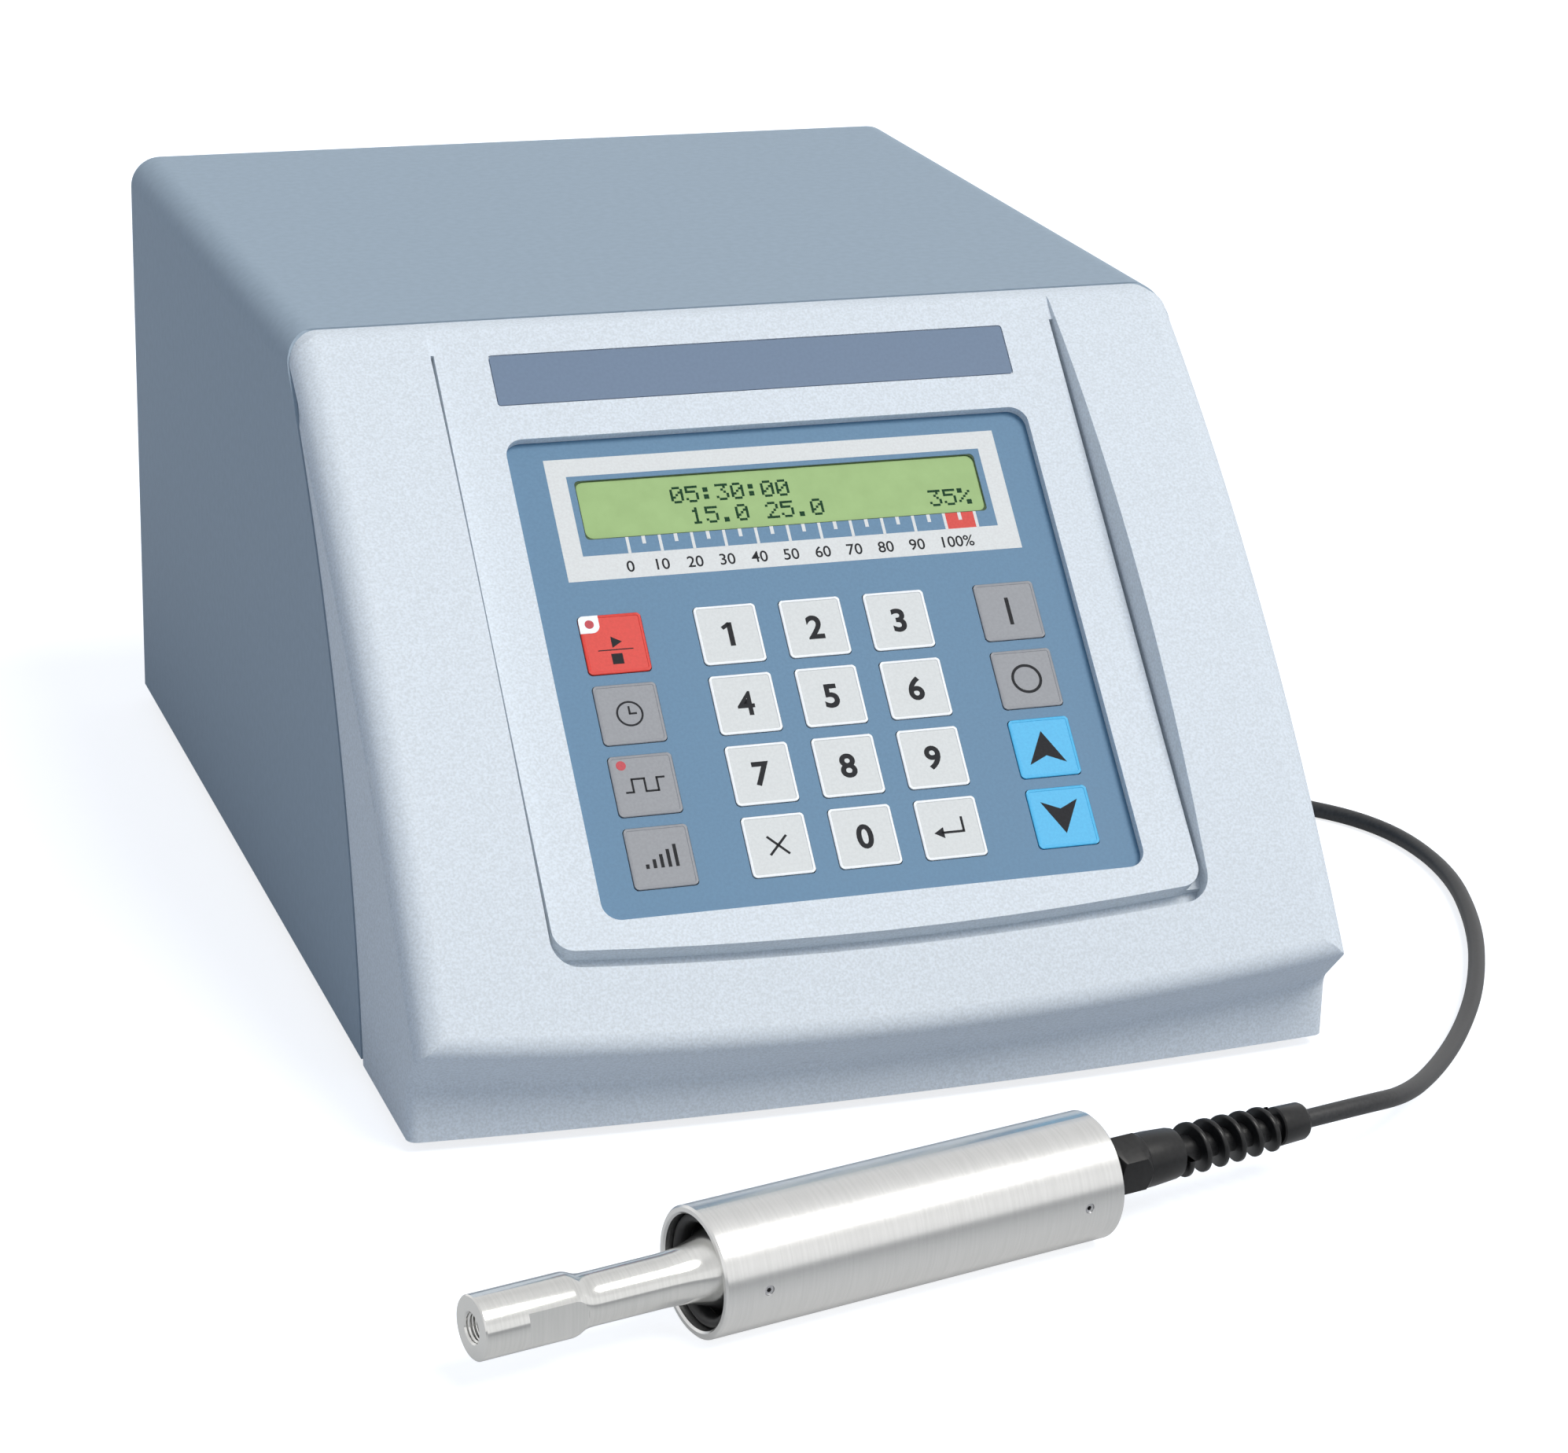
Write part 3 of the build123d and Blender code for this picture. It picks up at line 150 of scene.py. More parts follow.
print("lead points", len(route))

# %% [markdown]
# ## Finishes
# No real surface has one flat colour. Paint and moulded plastic have a grain that shows in
# the colour, in the gloss and in the relief, and each needs its own size of grain. One
# helper therefore lays a noise pattern on a surface in millimetres, and each finish gives
# it its colours, its grain and its gloss. The pattern reads Object coordinates, which are
# true sizes here, so it neither stretches nor needs a UV map.

# %% Colours and the grained finish
def light_of(red, green, blue):
    """A colour as read from a picture, 0 to 255, as the linear light that a shader wants."""
    steps = [channel / 255 for channel in (red, green, blue)]
    return (*[s / 12.92 if s <= 0.04045 else ((s + 0.055) / 1.055) ** 2.4 for s in steps], 1)


def grained(name, dark, light, grain, gloss, metallic=0.0, relief=0.0, relief_grain=0.4,
            lay=(1, 1, 1), place=(0, 0, 0), turn=0.0, mirror=0.5):
    """A finish with grains of that many mm, darker and lighter, and a fine relief."""
    finish = bpy.data.materials.new(name)
    finish.use_nodes = True
    nodes, links = finish.node_tree.nodes, finish.node_tree.links
    shader = nodes["Principled BSDF"]
    shader.inputs["Metallic"].default_value = metallic
    shader.inputs["Specular IOR Level"].default_value = mirror
    where = nodes.new("ShaderNodeTexCoord")
    turned = nodes.new("ShaderNodeMapping")
    turned.vector_type = "TEXTURE"
    turned.inputs["Location"].default_value = [part * mm for part in place]
    turned.inputs["Rotation"].default_value = (0, 0, turn)
    turned.inputs["Scale"].default_value = lay
    links.new(where.outputs["Object"], turned.inputs["Vector"])
    noise = nodes.new("ShaderNodeTexNoise")
    noise.inputs["Scale"].default_value = 1 / (grain * mm)
    noise.inputs["Detail"].default_value = 3
    links.new(turned.outputs["Vector"], noise.inputs["Vector"])
    ramp = nodes.new("ShaderNodeValToRGB")
    ramp.color_ramp.elements[0].position = 0.35
    ramp.color_ramp.elements[0].color = light_of(*dark)
    ramp.color_ramp.elements[1].position = 0.65
    ramp.color_ramp.elements[1].color = light_of(*light)
    links.new(noise.outputs["Fac"], ramp.inputs["Fac"])
    links.new(ramp.outputs["Color"], shader.inputs["Base Color"])
    shine = nodes.new("ShaderNodeMapRange")
    shine.inputs["To Min"].default_value = gloss[0]
    shine.inputs["To Max"].default_value = gloss[1]
    links.new(noise.outputs["Fac"], shine.inputs["Value"])
    links.new(shine.outputs["Result"], shader.inputs["Roughness"])
    if relief:
        fine = nodes.new("ShaderNodeTexNoise")
        fine.inputs["Scale"].default_value = 1 / (relief_grain * mm)
        fine.inputs["Detail"].default_value = 2
        links.new(turned.outputs["Vector"], fine.inputs["Vector"])
        bump = nodes.new("ShaderNodeBump")
        bump.inputs["Strength"].default_value = 1.0
        bump.inputs["Distance"].default_value = relief * mm
        links.new(fine.outputs["Fac"], bump.inputs["Height"])
        links.new(bump.outputs["Normal"], shader.inputs["Normal"])
    return finish


# %% [markdown]
# ### Paint and film
# The case is steel in a smooth blue-grey powder coat. The nose is a moulding sprayed in a
# silver paint whose flakes show as a coarse speckle, so its grain is larger and its two
# colours are further apart. The films on the panel are almost even, with a fine matt grain.

# %% Paint and film finishes
film = dict(relief=0.004, relief_grain=0.3, mirror=0.25)
finishes = {
    "case_paint": grained("case_paint", (151, 167, 181), (157, 173, 187), 3.0, (0.55, 0.65),
                          relief=0.015, relief_grain=0.5, mirror=0.25),
    "case_paint_dark": grained("case_paint_dark", (124, 139, 153), (131, 146, 160), 3.0, (0.5, 0.6),
                               relief=0.02, relief_grain=0.5, mirror=0.3),
    "bezel_paint": grained("bezel_paint", (212, 218, 223), (229, 236, 243), 0.8, (0.5, 0.65),
                           relief=0.03, relief_grain=0.7, mirror=0.3),
    "strip_film": grained("strip_film", (103, 123, 148), (108, 128, 153), 1.2, (0.4, 0.5), **film),
    "overlay_film": grained("overlay_film", (93, 131, 161), (99, 137, 167), 1.0, (0.42, 0.52), **film),
    "key_white": grained("key_white", (214, 216, 215), (221, 223, 222), 0.9, (0.4, 0.5), **film),
    "key_grey": grained("key_grey", (148, 149, 153), (155, 156, 160), 0.9, (0.4, 0.5), **film),
    "key_red": grained("key_red", (220, 62, 52), (228, 70, 60), 0.9, (0.4, 0.5), **film),
    "key_cyan": grained("key_cyan", (80, 184, 232), (88, 192, 238), 0.9, (0.4, 0.5), **film),
    # Lighter than key_white: a painted highlight on the raised rims of the white keys, and also the real
    # white print of the start key's corner tab.
    "key_rim_highlight_and_tab": grained("key_rim_highlight_and_tab", (246, 248, 250), (252, 253, 254), 0.9, (0.35, 0.45), **film),
    "white_ink": grained("white_ink", (217, 218, 217), (224, 226, 225), 0.8, (0.4, 0.5), **film),
    "dark_ink": grained("dark_ink", (30, 31, 35), (38, 39, 43), 0.8, (0.5, 0.6), mirror=0.12),
    "red_ink": grained("red_ink", (214, 66, 58), (222, 74, 66), 0.8, (0.4, 0.5), mirror=0.2),
    "lamp_red": grained("lamp_red", (176, 24, 44), (196, 36, 56), 0.6, (0.35, 0.45), mirror=0.3),
    "lcd_green": grained("lcd_green", (152, 183, 116), (160, 191, 124), 9.0, (0.35, 0.45), mirror=0.2),
    # Painted shade: a dark green for the shaded edge of the display window's wall.
    "lcd_edge_shade": grained("lcd_edge_shade", (58, 78, 50), (70, 92, 60), 2.0, (0.5, 0.6), mirror=0.2),
    "lcd_dark": grained("lcd_dark", (4, 54, 27), (9, 62, 33), 0.5, (0.5, 0.6), mirror=0.12),
}
print("paint and film finishes", len(finishes))

# %% [markdown]
# ### Metal, rubber and plastic
# A turned metal piece keeps the fine rings that the tool left, so its grain is squeezed
# along the converter's axis and stretched round it. Zinc sheet has large pale crystals.
# Rubber and nylon are nearly black with a soft sheen, and the lead's jacket is dark grey.

# %% Metal finishes
rings = dict(lay=(1, 25, 25), place=tip_place, turn=axis_turn)
finishes |= {
    "housing_aluminium": grained("housing_aluminium", (224, 224, 223), (229, 229, 228), 0.7,
                                 (0.22, 0.25), metallic=1.0, relief=0.0002, relief_grain=0.3, **rings),
    "driver_titanium": grained("driver_titanium", (221, 221, 219), (226, 226, 224), 0.6,
                               (0.13, 0.15), metallic=1.0, relief=0.00015, relief_grain=0.3, **rings),
    "screw_steel": grained("screw_steel", (176, 177, 180), (206, 207, 210), 0.8, (0.25, 0.38),
                           metallic=1.0, relief=0.004),
    "plated_nickel": grained("plated_nickel", (190, 188, 182), (214, 212, 206), 1.2, (0.2, 0.32),
                             metallic=1.0, relief=0.003),
    "wire_chrome": grained("wire_chrome", (198, 200, 204), (222, 224, 228), 1.5, (0.12, 0.22),
                           metallic=1.0),
    "zinc_steel": grained("zinc_steel", (168, 172, 176), (202, 206, 210), 7.0, (0.35, 0.5),
                          metallic=0.9, relief=0.01, relief_grain=1.5),
    "brass_hex": grained("brass_hex", (184, 150, 84), (208, 174, 104), 0.8, (0.25, 0.35),
                         metallic=1.0, relief=0.004),
    "core_steel": grained("core_steel", (70, 72, 76), (118, 120, 124), 1.0, (0.4, 0.6),
                          metallic=0.7, relief=0.03, relief_grain=0.6, lay=(25, 25, 1)),
    "winding_copper": grained("winding_copper", (150, 74, 36), (196, 108, 58), 1.2, (0.25, 0.4),
                              metallic=0.9, relief=0.02, relief_grain=0.8),
    "black_aluminium": grained("black_aluminium", (26, 26, 28), (38, 38, 40), 0.8, (0.4, 0.55),
                               metallic=0.6, relief=0.004),
}
print("metal finishes", len(finishes))

# %% Plastic, rubber and ceramic finishes
finishes |= {
    "cable_grey": grained("cable_grey", (46, 46, 47), (56, 56, 57), 1.2, (0.4, 0.5),
                          relief=0.008, relief_grain=0.5, mirror=0.4),
    "gland_black": grained("gland_black", (18, 18, 19), (26, 26, 27), 1.4, (0.3, 0.4),
                           relief=0.004, relief_grain=0.6, mirror=0.4),
    "black_plastic": grained("black_plastic", (24, 25, 27), (34, 35, 37), 1.0, (0.45, 0.6),
                             relief=0.01, relief_grain=0.4),
    "cap_black": grained("cap_black", (28, 28, 30), (38, 38, 40), 1.0, (0.4, 0.5), relief=0.006),
    "foot_rubber": grained("foot_rubber", (22, 22, 23), (32, 32, 33), 1.2, (0.65, 0.8),
                           relief=0.02, relief_grain=0.5),
    "o_ring_rubber": grained("o_ring_rubber", (20, 20, 21), (30, 30, 31), 0.8, (0.4, 0.55)),
    "board_green": grained("board_green", (26, 84, 52), (38, 104, 66), 4.0, (0.35, 0.5),
                           relief=0.01, relief_grain=1.2),
    "sleeve_blue": grained("sleeve_blue", (40, 60, 110), (50, 72, 128), 2.0, (0.3, 0.4)),
    "ceramic_cream": grained("ceramic_cream", (206, 196, 172), (224, 214, 190), 0.8, (0.45, 0.6),
                             relief=0.006),
}
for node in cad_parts.values():
    slot_name = node.data.materials[0].name
    for number in range(len(node.data.materials)):
        node.data.materials[number] = finishes[slot_name]
lead.data.materials.append(finishes["cable_grey"])
print("finishes", len(finishes))

# %% [markdown]
# ## Working helpers
# Edit mode works on what is selected. A person clicks the faces; a script names them by
# their place. These helpers select by place, set down plain thin marks for print, and lay a
# finished flat piece on the sloping panel.

# %% Selecting by place
def start_fresh():
    """Nothing selected, nothing in edit mode."""
    if bpy.context.object and bpy.context.object.mode != "OBJECT":
        bpy.ops.object.mode_set(mode="OBJECT")
    bpy.ops.object.select_all(action="DESELECT")


def pick(piece, kind, wanted):
    """Selects the points, edges or faces whose middle, in mm, and normal pass the test."""
    bpy.ops.mesh.select_mode(type={"verts": "VERT", "edges": "EDGE", "faces": "FACE"}[kind])
    bpy.ops.mesh.select_all(action="DESELECT")
    mesh = bmesh.from_edit_mesh(piece.data)
    for part in getattr(mesh, kind):
        points = [part] if kind == "verts" else part.verts
        middle = sum((point.co for point in points), Vector()) / len(points) / mm
        if wanted(middle, part):
            part.select_set(True)
    mesh.select_flush_mode()
    bmesh.update_edit_mesh(piece.data)


def tidy_mesh(piece):
    """Merges doubles, turns all faces outwards and leaves edit mode."""
    bpy.context.view_layer.objects.active = piece
    bpy.ops.object.mode_set(mode="EDIT")
    bpy.ops.mesh.select_all(action="SELECT")
    bpy.ops.mesh.remove_doubles(threshold=0.0005 * mm)
    bpy.ops.mesh.normals_make_consistent(inside=False)
    bpy.ops.object.mode_set(mode="OBJECT")
    return piece


def join_up(name, parts):
    """Joins the parts into the first one."""
    start_fresh()
    for part in parts:
        part.select_set(True)
    bpy.context.view_layer.objects.active = parts[0]
    if len(parts) > 1:
        bpy.ops.object.join()
    piece = bpy.context.object
    piece.name = piece.data.name = name
    return piece


# %% Laying pieces on the panel and on the converter's axis
panel_tilt = math.radians(45.2)
slope = Vector((0, math.sin(panel_tilt), math.cos(panel_tilt)))
outwards = Vector((0, -math.cos(panel_tilt), math.sin(panel_tilt)))
panel_frame = Matrix((Vector((1, 0, 0)), slope, outwards)).transposed().to_4x4()
panel_place = Matrix.Translation(Vector((0, -137.3, 138.0)) * mm) @ panel_frame
axis_frame = Matrix((sideways, Vector((0, 0, -1)), along)).transposed().to_4x4()
axis_place = Matrix.Translation(tip_place * mm) @ axis_frame


def lay(piece, place):
    """Moves the piece to its place and applies the move, so its object stays at the origin."""
    start_fresh()
    piece.select_set(True)
    bpy.context.view_layer.objects.active = piece
    piece.matrix_world = place @ piece.matrix_world
    bpy.ops.object.transform_apply(location=True, rotation=True, scale=True)
    return piece


# %% [markdown]
# ## Print
# Ink on a film is a few hundredths of a millimetre thick. Each mark is a thin closed body
# that stands just clear of the film, because two faces in one plane would flicker. Bars,
# discs and rings are primitives set down at their size, and figures are text made mesh.

# %% Print helpers
ink = 0.05


def inked(mark, ink_name):
    """The mark, with one finish and no other."""
    mark.data.materials.clear()
    mark.data.materials.append(finishes[ink_name])
    return mark


def bar(x, y, width, height, turn=0.0, ink_name="dark_ink"):
    """A printed bar, turned by so many degrees."""
    start_fresh()
    bpy.ops.mesh.primitive_cube_add(
        size=1, location=(x * mm, y * mm, ink / 2 * mm), rotation=(0, 0, math.radians(turn)),
        scale=(width * mm, height * mm, ink * mm),
    )
    bpy.ops.object.transform_apply(location=True, rotation=True, scale=True)
    return inked(bpy.context.object, ink_name)


def disc(x, y, radius, sides=32, turn=0.0, ink_name="dark_ink"):
    """A printed disc, or with few sides a triangle or a square."""
    start_fresh()
    bpy.ops.mesh.primitive_cylinder_add(
        vertices=sides, radius=radius * mm, depth=ink * mm,
        location=(x * mm, y * mm, ink / 2 * mm), rotation=(0, 0, math.radians(turn)),
    )
    bpy.ops.object.transform_apply(location=True, rotation=True, scale=True)
    return inked(bpy.context.object, ink_name)


def ring(x, y, radius, width, ink_name="dark_ink"):
    """A printed ring: a circle drawn inwards, then given the thickness of ink."""
    start_fresh()
    bpy.ops.mesh.primitive_circle_add(vertices=48, radius=radius * mm, location=(x * mm, y * mm, 0))
    mark = bpy.context.object
    bpy.ops.object.mode_set(mode="EDIT")
    bpy.ops.mesh.select_all(action="SELECT")
    bpy.ops.mesh.extrude_edges_move()
    inner = (radius - width) / radius
    bpy.ops.transform.resize(value=(inner, inner, 1))
    bpy.ops.mesh.select_all(action="SELECT")
    bpy.ops.mesh.extrude_region_move(TRANSFORM_OT_translate={"value": (0, 0, ink * mm)})
    bpy.ops.object.mode_set(mode="OBJECT")
    bpy.ops.object.transform_apply(location=True, rotation=True, scale=True)
    return inked(tidy_mesh(mark), ink_name)


def figures(words, x, y, height, bold=0.0, ink_name="dark_ink"):
    """Printed figures of that height, centred on a point."""
    start_fresh()
    bpy.ops.object.text_add()
    text = bpy.context.object
    text.data.body = words
    text.data.offset = bold
    text.data.extrude = 0.5
    text.data.resolution_u = 5
    bpy.ops.object.convert(target="MESH")
    mark = bpy.context.object
    low = Vector([min(v.co[i] for v in mark.data.vertices) for i in range(3)])
    high = Vector([max(v.co[i] for v in mark.data.vertices) for i in range(3)])
    size = height * mm / (high.y - low.y)
    mark.scale = (size, size, ink * mm)
    middle = (low + high) / 2 * size
    mark.location = (x * mm - middle.x, y * mm - middle.y, ink / 2 * mm)
    bpy.ops.object.transform_apply(location=True, rotation=True, scale=True)
    return inked(tidy_mesh(mark), ink_name)


# %% [markdown]
# ## Display surround
# Round the display the film carries a white border, a scale of white ticks from 0 to 90 and
# a red field for the top of the scale. The border is one sheet with a window: a plane is
# inset, its middle is deleted, and Solidify gives it the thickness of ink.

# %% Display surround
film_face = -3.2
frame_left, frame_low, frame_top = -77.1, 16.7, 60.85
border_w, border_low_extra = 6.4, 2.4
start_fresh()
bpy.ops.mesh.primitive_plane_add(
    size=1, location=(0, (frame_low + frame_top) / 2 * mm, ink * mm),
)
border = bpy.context.object
border.scale = (-2 * frame_left * mm, (frame_top - frame_low) * mm, 1)
bpy.ops.object.transform_apply(location=True, rotation=True, scale=True)
bpy.ops.object.mode_set(mode="EDIT")
bpy.ops.mesh.select_all(action="SELECT")
bpy.ops.mesh.inset(thickness=border_w * mm)
pick(border, "verts", lambda middle, part: abs(middle.x) < 75 and middle.y < 38)
bpy.ops.transform.translate(value=(0, border_low_extra * mm, 0))
pick(border, "faces", lambda middle, part: abs(middle.x) < 5 and 30 < middle.y < 50)
bpy.ops.mesh.delete(type="FACE")
bpy.ops.object.mode_set(mode="OBJECT")
thickness = border.modifiers.new("ink", "SOLIDIFY")
thickness.thickness = ink * mm
bpy.ops.object.modifier_apply(modifier="ink")
surround = [inked(tidy_mesh(border), "white_ink")]
print("border faces", len(border.data.polygons))

# %% Scale under the display
tick_step, tick_first, tick_count = 10.8, -55.1, 12
scale_v, scale_height, scale_shift = 20.8, 4.0, -0.8
lcd_low, scale_low = 31.25, 25.5
tick_mid, tick_h = (lcd_low + scale_low) / 2, lcd_low - scale_low
raised = Matrix.Translation((0, 0, 0.03 * mm))


def half_tick(u):
    """A short tick that hangs from the display."""
    return bar(u, lcd_low - 1.3, 1.2, 2.8, ink_name="white_ink")


def scale_number(words, u):
    """A number under the scale, raised a little, so that it isn't in the border's plane."""
    return lay(figures(words, u, scale_v, scale_height, bold=0.008), raised)


for number in range(tick_count):
    u = tick_first + tick_step * number
    surround.append(bar(u, tick_mid, 1.0, tick_h + 0.2, ink_name="white_ink"))
    if number < tick_count - 2:
        surround.append(half_tick(u + tick_step / 2))
        surround.append(scale_number(str(10 * number), u + scale_shift))
red_u = tick_first + tick_step * (tick_count - 1.5)
surround.append(bar(red_u, tick_mid, tick_step - 1.0, tick_h + 0.1, ink_name="red_ink"))
surround.append(lay(half_tick(red_u), raised))
surround.append(scale_number("100%", red_u + 3.4 * scale_shift))
film_place = panel_place @ Matrix.Translation((0, 0, (film_face - 0.01) * mm))
print_piece = lay(join_up("display_print", surround), film_place)
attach(print_piece, "generator")
print("display print", len(print_piece.data.polygons))

# %% [markdown]
# The display's window has rounded corners and a wall between the film and the glass, in a
# dark green that is painted shade at the window's edge. It is a rounded plate, inset to leave
# only its rim, which is given the depth. The clear window of the film fills it, tinted by the
# lit glass that lies right behind.

# %% Display window rim
window_v, rim_w, rim_h, rim_deep = 42.0, 136.9, 21.3, 1.38
start_fresh()
bpy.ops.mesh.primitive_plane_add(size=1, location=(0, window_v * mm, -3.3 * mm))
rim = bpy.context.object
rim.scale = (rim_w * mm, rim_h * mm, 1)
bpy.ops.object.transform_apply(location=True, rotation=True, scale=True)
bpy.ops.object.mode_set(mode="EDIT")
bpy.ops.mesh.select_all(action="SELECT")
bpy.ops.mesh.inset(thickness=0.25 * mm)
pick(rim, "faces", lambda middle, part: abs(middle.x) < 5 and 35 < middle.y < 49)
bpy.ops.mesh.delete(type="ONLY_FACE")
pick(rim, "verts", lambda middle, part: abs(middle.x) < 68.3)
bpy.ops.mesh.bevel(offset=2.6 * mm, segments=6, affect="VERTICES")
bpy.ops.object.mode_set(mode="OBJECT")
deep = rim.modifiers.new("deep", "SOLIDIFY")
deep.thickness = rim_deep * mm
deep.offset = -1
bpy.ops.object.modifier_apply(modifier="deep")
rim = lay(inked(tidy_mesh(rim), "lcd_edge_shade"), panel_place)
rim.name = rim.data.name = "display_rim"
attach(rim, "generator")
print("rim faces", len(rim.data.polygons))

# %% Display window
window_w, window_h, window_face, window_back = 136.6, 21.0, -3.8, -4.66
start_fresh()
bpy.ops.mesh.primitive_cube_add(
    size=1, location=(0, window_v * mm, (window_face + window_back) / 2 * mm),
)
window = bpy.context.object
window.scale = (window_w * mm, window_h * mm, (window_face - window_back) * mm)
bpy.ops.object.transform_apply(location=True, rotation=True, scale=True)
bpy.ops.object.mode_set(mode="EDIT")
pick(window, "edges", lambda middle, part: abs(middle.x) > 68 and abs(middle.y - window_v) > 10)
bpy.ops.mesh.bevel(offset=2.5 * mm, segments=6)
bpy.ops.object.mode_set(mode="OBJECT")
window = lay(inked(tidy_mesh(window), "lcd_green"), panel_place)
window.name = window.data.name = "display_window"
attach(window, "generator")
print("window faces", len(window.data.polygons))

# %% [markdown]
# ## Characters on the display
# The display writes with dots, five across and seven high in each place. One dot is
# modelled and three Array modifiers repeat it over all the places of both lines. Then the
# dots that aren't lit are selected and deleted, which is quicker than setting each one.

# %% Lit dots
dot_shapes = {
    "0": ("01110", "10001", "10011", "10101", "11001", "10001", "01110"),
    "1": ("00100", "01100", "00100", "00100", "00100", "00100", "01110"),
    "2": ("01110", "10001", "00001", "00010", "00100", "01000", "11111"),
    "3": ("11111", "00010", "00100", "00010", "00001", "10001", "01110"),
    "5": ("11111", "10000", "11110", "00001", "00001", "10001", "01110"),
    ":": ("00000", "01100", "01100", "00000", "01100", "01100", "00000"),
    ".": ("00000", "00000", "00000", "00000", "00000", "01100", "01100"),
    "%": ("11000", "11001", "00010", "00100", "01000", "10011", "00011"),
}
columns, dot_pitch, place_pitch, line_pitch = 25, 0.86, 5.12, 7.9
dot_w, dot_h, dot_thick = 0.83, 0.82, 0.06
written = ["     05:30:00            ", "      15.0 25.0       35%"]
first_u, first_v = -62.6, 48.0
start_fresh()
bpy.ops.mesh.primitive_cube_add(size=1, location=(first_u * mm, first_v * mm, dot_thick / 2 * mm))
dots = bpy.context.object
dots.scale = (dot_w * mm, dot_h * mm, dot_thick * mm)
bpy.ops.object.transform_apply(location=True, rotation=True, scale=True)
for name, count, step in (
    ("across", 5, (dot_pitch, 0)), ("down", 7, (0, -dot_pitch)),
    ("places", columns, (place_pitch, 0)), ("lines", 2, (0, -line_pitch)),
):
    repeat = dots.modifiers.new(name, "ARRAY")
    repeat.count = count
    repeat.use_relative_offset = False
    repeat.use_constant_offset = True
    repeat.constant_offset_displace = (step[0] * mm, step[1] * mm, 0)
    bpy.ops.object.modifier_apply(modifier=name)


def unlit(middle, part):
    """True where the dot that this face belongs to isn't part of a figure."""
    line = round((first_v - middle.y - 3 * dot_pitch) / line_pitch)
    row = round((first_v - middle.y - line * line_pitch) / dot_pitch)
    column = int((middle.x - first_u + dot_pitch / 2) // place_pitch)
    spot = round((middle.x - first_u - column * place_pitch) / dot_pitch)
    shape = dot_shapes.get(written[line][column])
    return shape is None or shape[row][spot] == "0"


bpy.ops.object.mode_set(mode="EDIT")
pick(dots, "faces", unlit)
bpy.ops.mesh.delete(type="FACE")
bpy.ops.object.mode_set(mode="OBJECT")
window_place = panel_place @ Matrix.Translation((0, 0, (window_face - 0.01) * mm))
dots = lay(inked(tidy_mesh(dots), "lcd_dark"), window_place)
dots.name = dots.data.name = "display_dots"
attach(dots, "generator")
print("lit dots", len(dots.data.polygons) // 6)

# %% [markdown]
# ## Keys
# Each key is an embossed field of the film with a raised rim, softly rounded. The blank is a
# thin block: its upright edges are bevelled for the corners, its top is inset for the rim,
# and the middle goes down a little. It is modelled once, and each key gets its own copy.

# %% Key blank
key_size, key_back, key_front = 20.6, -4.0, -2.7
rim_out, rim_flat, rim_slope, field_deep = 0.22, 0.55, 0.18, 0.14
start_fresh()
bpy.ops.mesh.primitive_cube_add(size=1, location=(0, 0, (key_back + key_front) / 2 * mm))
blank = bpy.context.object
blank.scale = (key_size * mm, key_size * mm, (key_front - key_back) * mm)
bpy.ops.object.transform_apply(location=True, rotation=True, scale=True)
bpy.ops.object.mode_set(mode="EDIT")
pick(blank, "edges", lambda middle, part: abs(middle.x) > 10 and abs(middle.y) > 10)
bpy.ops.mesh.bevel(offset=1.6 * mm, segments=6)
pick(blank, "faces", lambda middle, part: part.normal.z > 0.9)
bpy.ops.mesh.inset(thickness=rim_out * mm, depth=0)
bpy.ops.mesh.inset(thickness=rim_flat * mm, depth=0)
bpy.ops.mesh.inset(thickness=rim_slope * mm, depth=-field_deep * mm)
key_edge = key_size / 2 - 0.01
pick(blank, "verts", lambda middle, part: (
    max(abs(middle.x), abs(middle.y)) > key_edge and middle.z > key_front - 0.1
))
bpy.ops.transform.translate(value=(0, 0, -0.15 * mm))
bpy.ops.object.mode_set(mode="OBJECT")
tidy_mesh(blank)
bpy.ops.object.shade_smooth_by_angle(angle=math.radians(25))
blank.name = blank.data.name = "key_blank"
field_level = key_front - field_deep
print("key blank faces", len(blank.data.polygons))

# %% [markdown]
# ### Signs on the keys
# The number keys carry bold figures. Where the real keys have words, these carry plain signs
# that say the same: a running clock, a square wave, rising bars, a cross and a return arrow.
# The two grey keys on the right have the stroke and the ring, and the blue ones have darts.

# %% Signs
def dart(turn):
    """A broad arrow head with a notch: a diamond whose lower point is pushed up."""
    mark = disc(0, 0, 1.0, sides=4)
    bpy.ops.object.mode_set(mode="EDIT")
    for test, move in (
        (lambda middle, part: middle.y > 0.5, (0, 4.75)),
        (lambda middle, part: middle.x > 0.5, (5.3, -5.75)),
        (lambda middle, part: middle.x < -0.5 and abs(middle.y) < 0.5, (-5.3, -5.75)),
        (lambda middle, part: -1.5 < middle.y < -0.5, (0, -1.9)),
    ):
        pick(mark, "verts", test)
        bpy.ops.transform.translate(value=(move[0] * mm, move[1] * mm, 0))
    bpy.ops.object.mode_set(mode="OBJECT")
    return lay(mark, Matrix.Rotation(math.radians(turn), 4, "Z"))


def corner_tab():
    """The white corner with one rounded corner, on which the red lamp of a key sits."""
    tab = bar(-7.0, 7.25, 6.6, 6.1, ink_name="key_rim_highlight_and_tab")
    bpy.ops.object.mode_set(mode="EDIT")
    for offset, segments, corner in (
        (2.6, 8, lambda middle: middle.x > -4 and middle.y < 4.5),
        (1.6, 6, lambda middle: middle.x < -10 and middle.y > 10),
    ):
        pick(tab, "edges", lambda middle, part: corner(middle) and abs(middle.z - ink / 2) < 0.01)
        bpy.ops.mesh.bevel(offset=offset * mm, segments=segments)
    pick(tab, "faces", lambda middle, part: part.normal.z > 0.9)
    bpy.ops.transform.translate(value=(0, 0, 0.12 * mm))
    bpy.ops.object.mode_set(mode="OBJECT")
    return tab


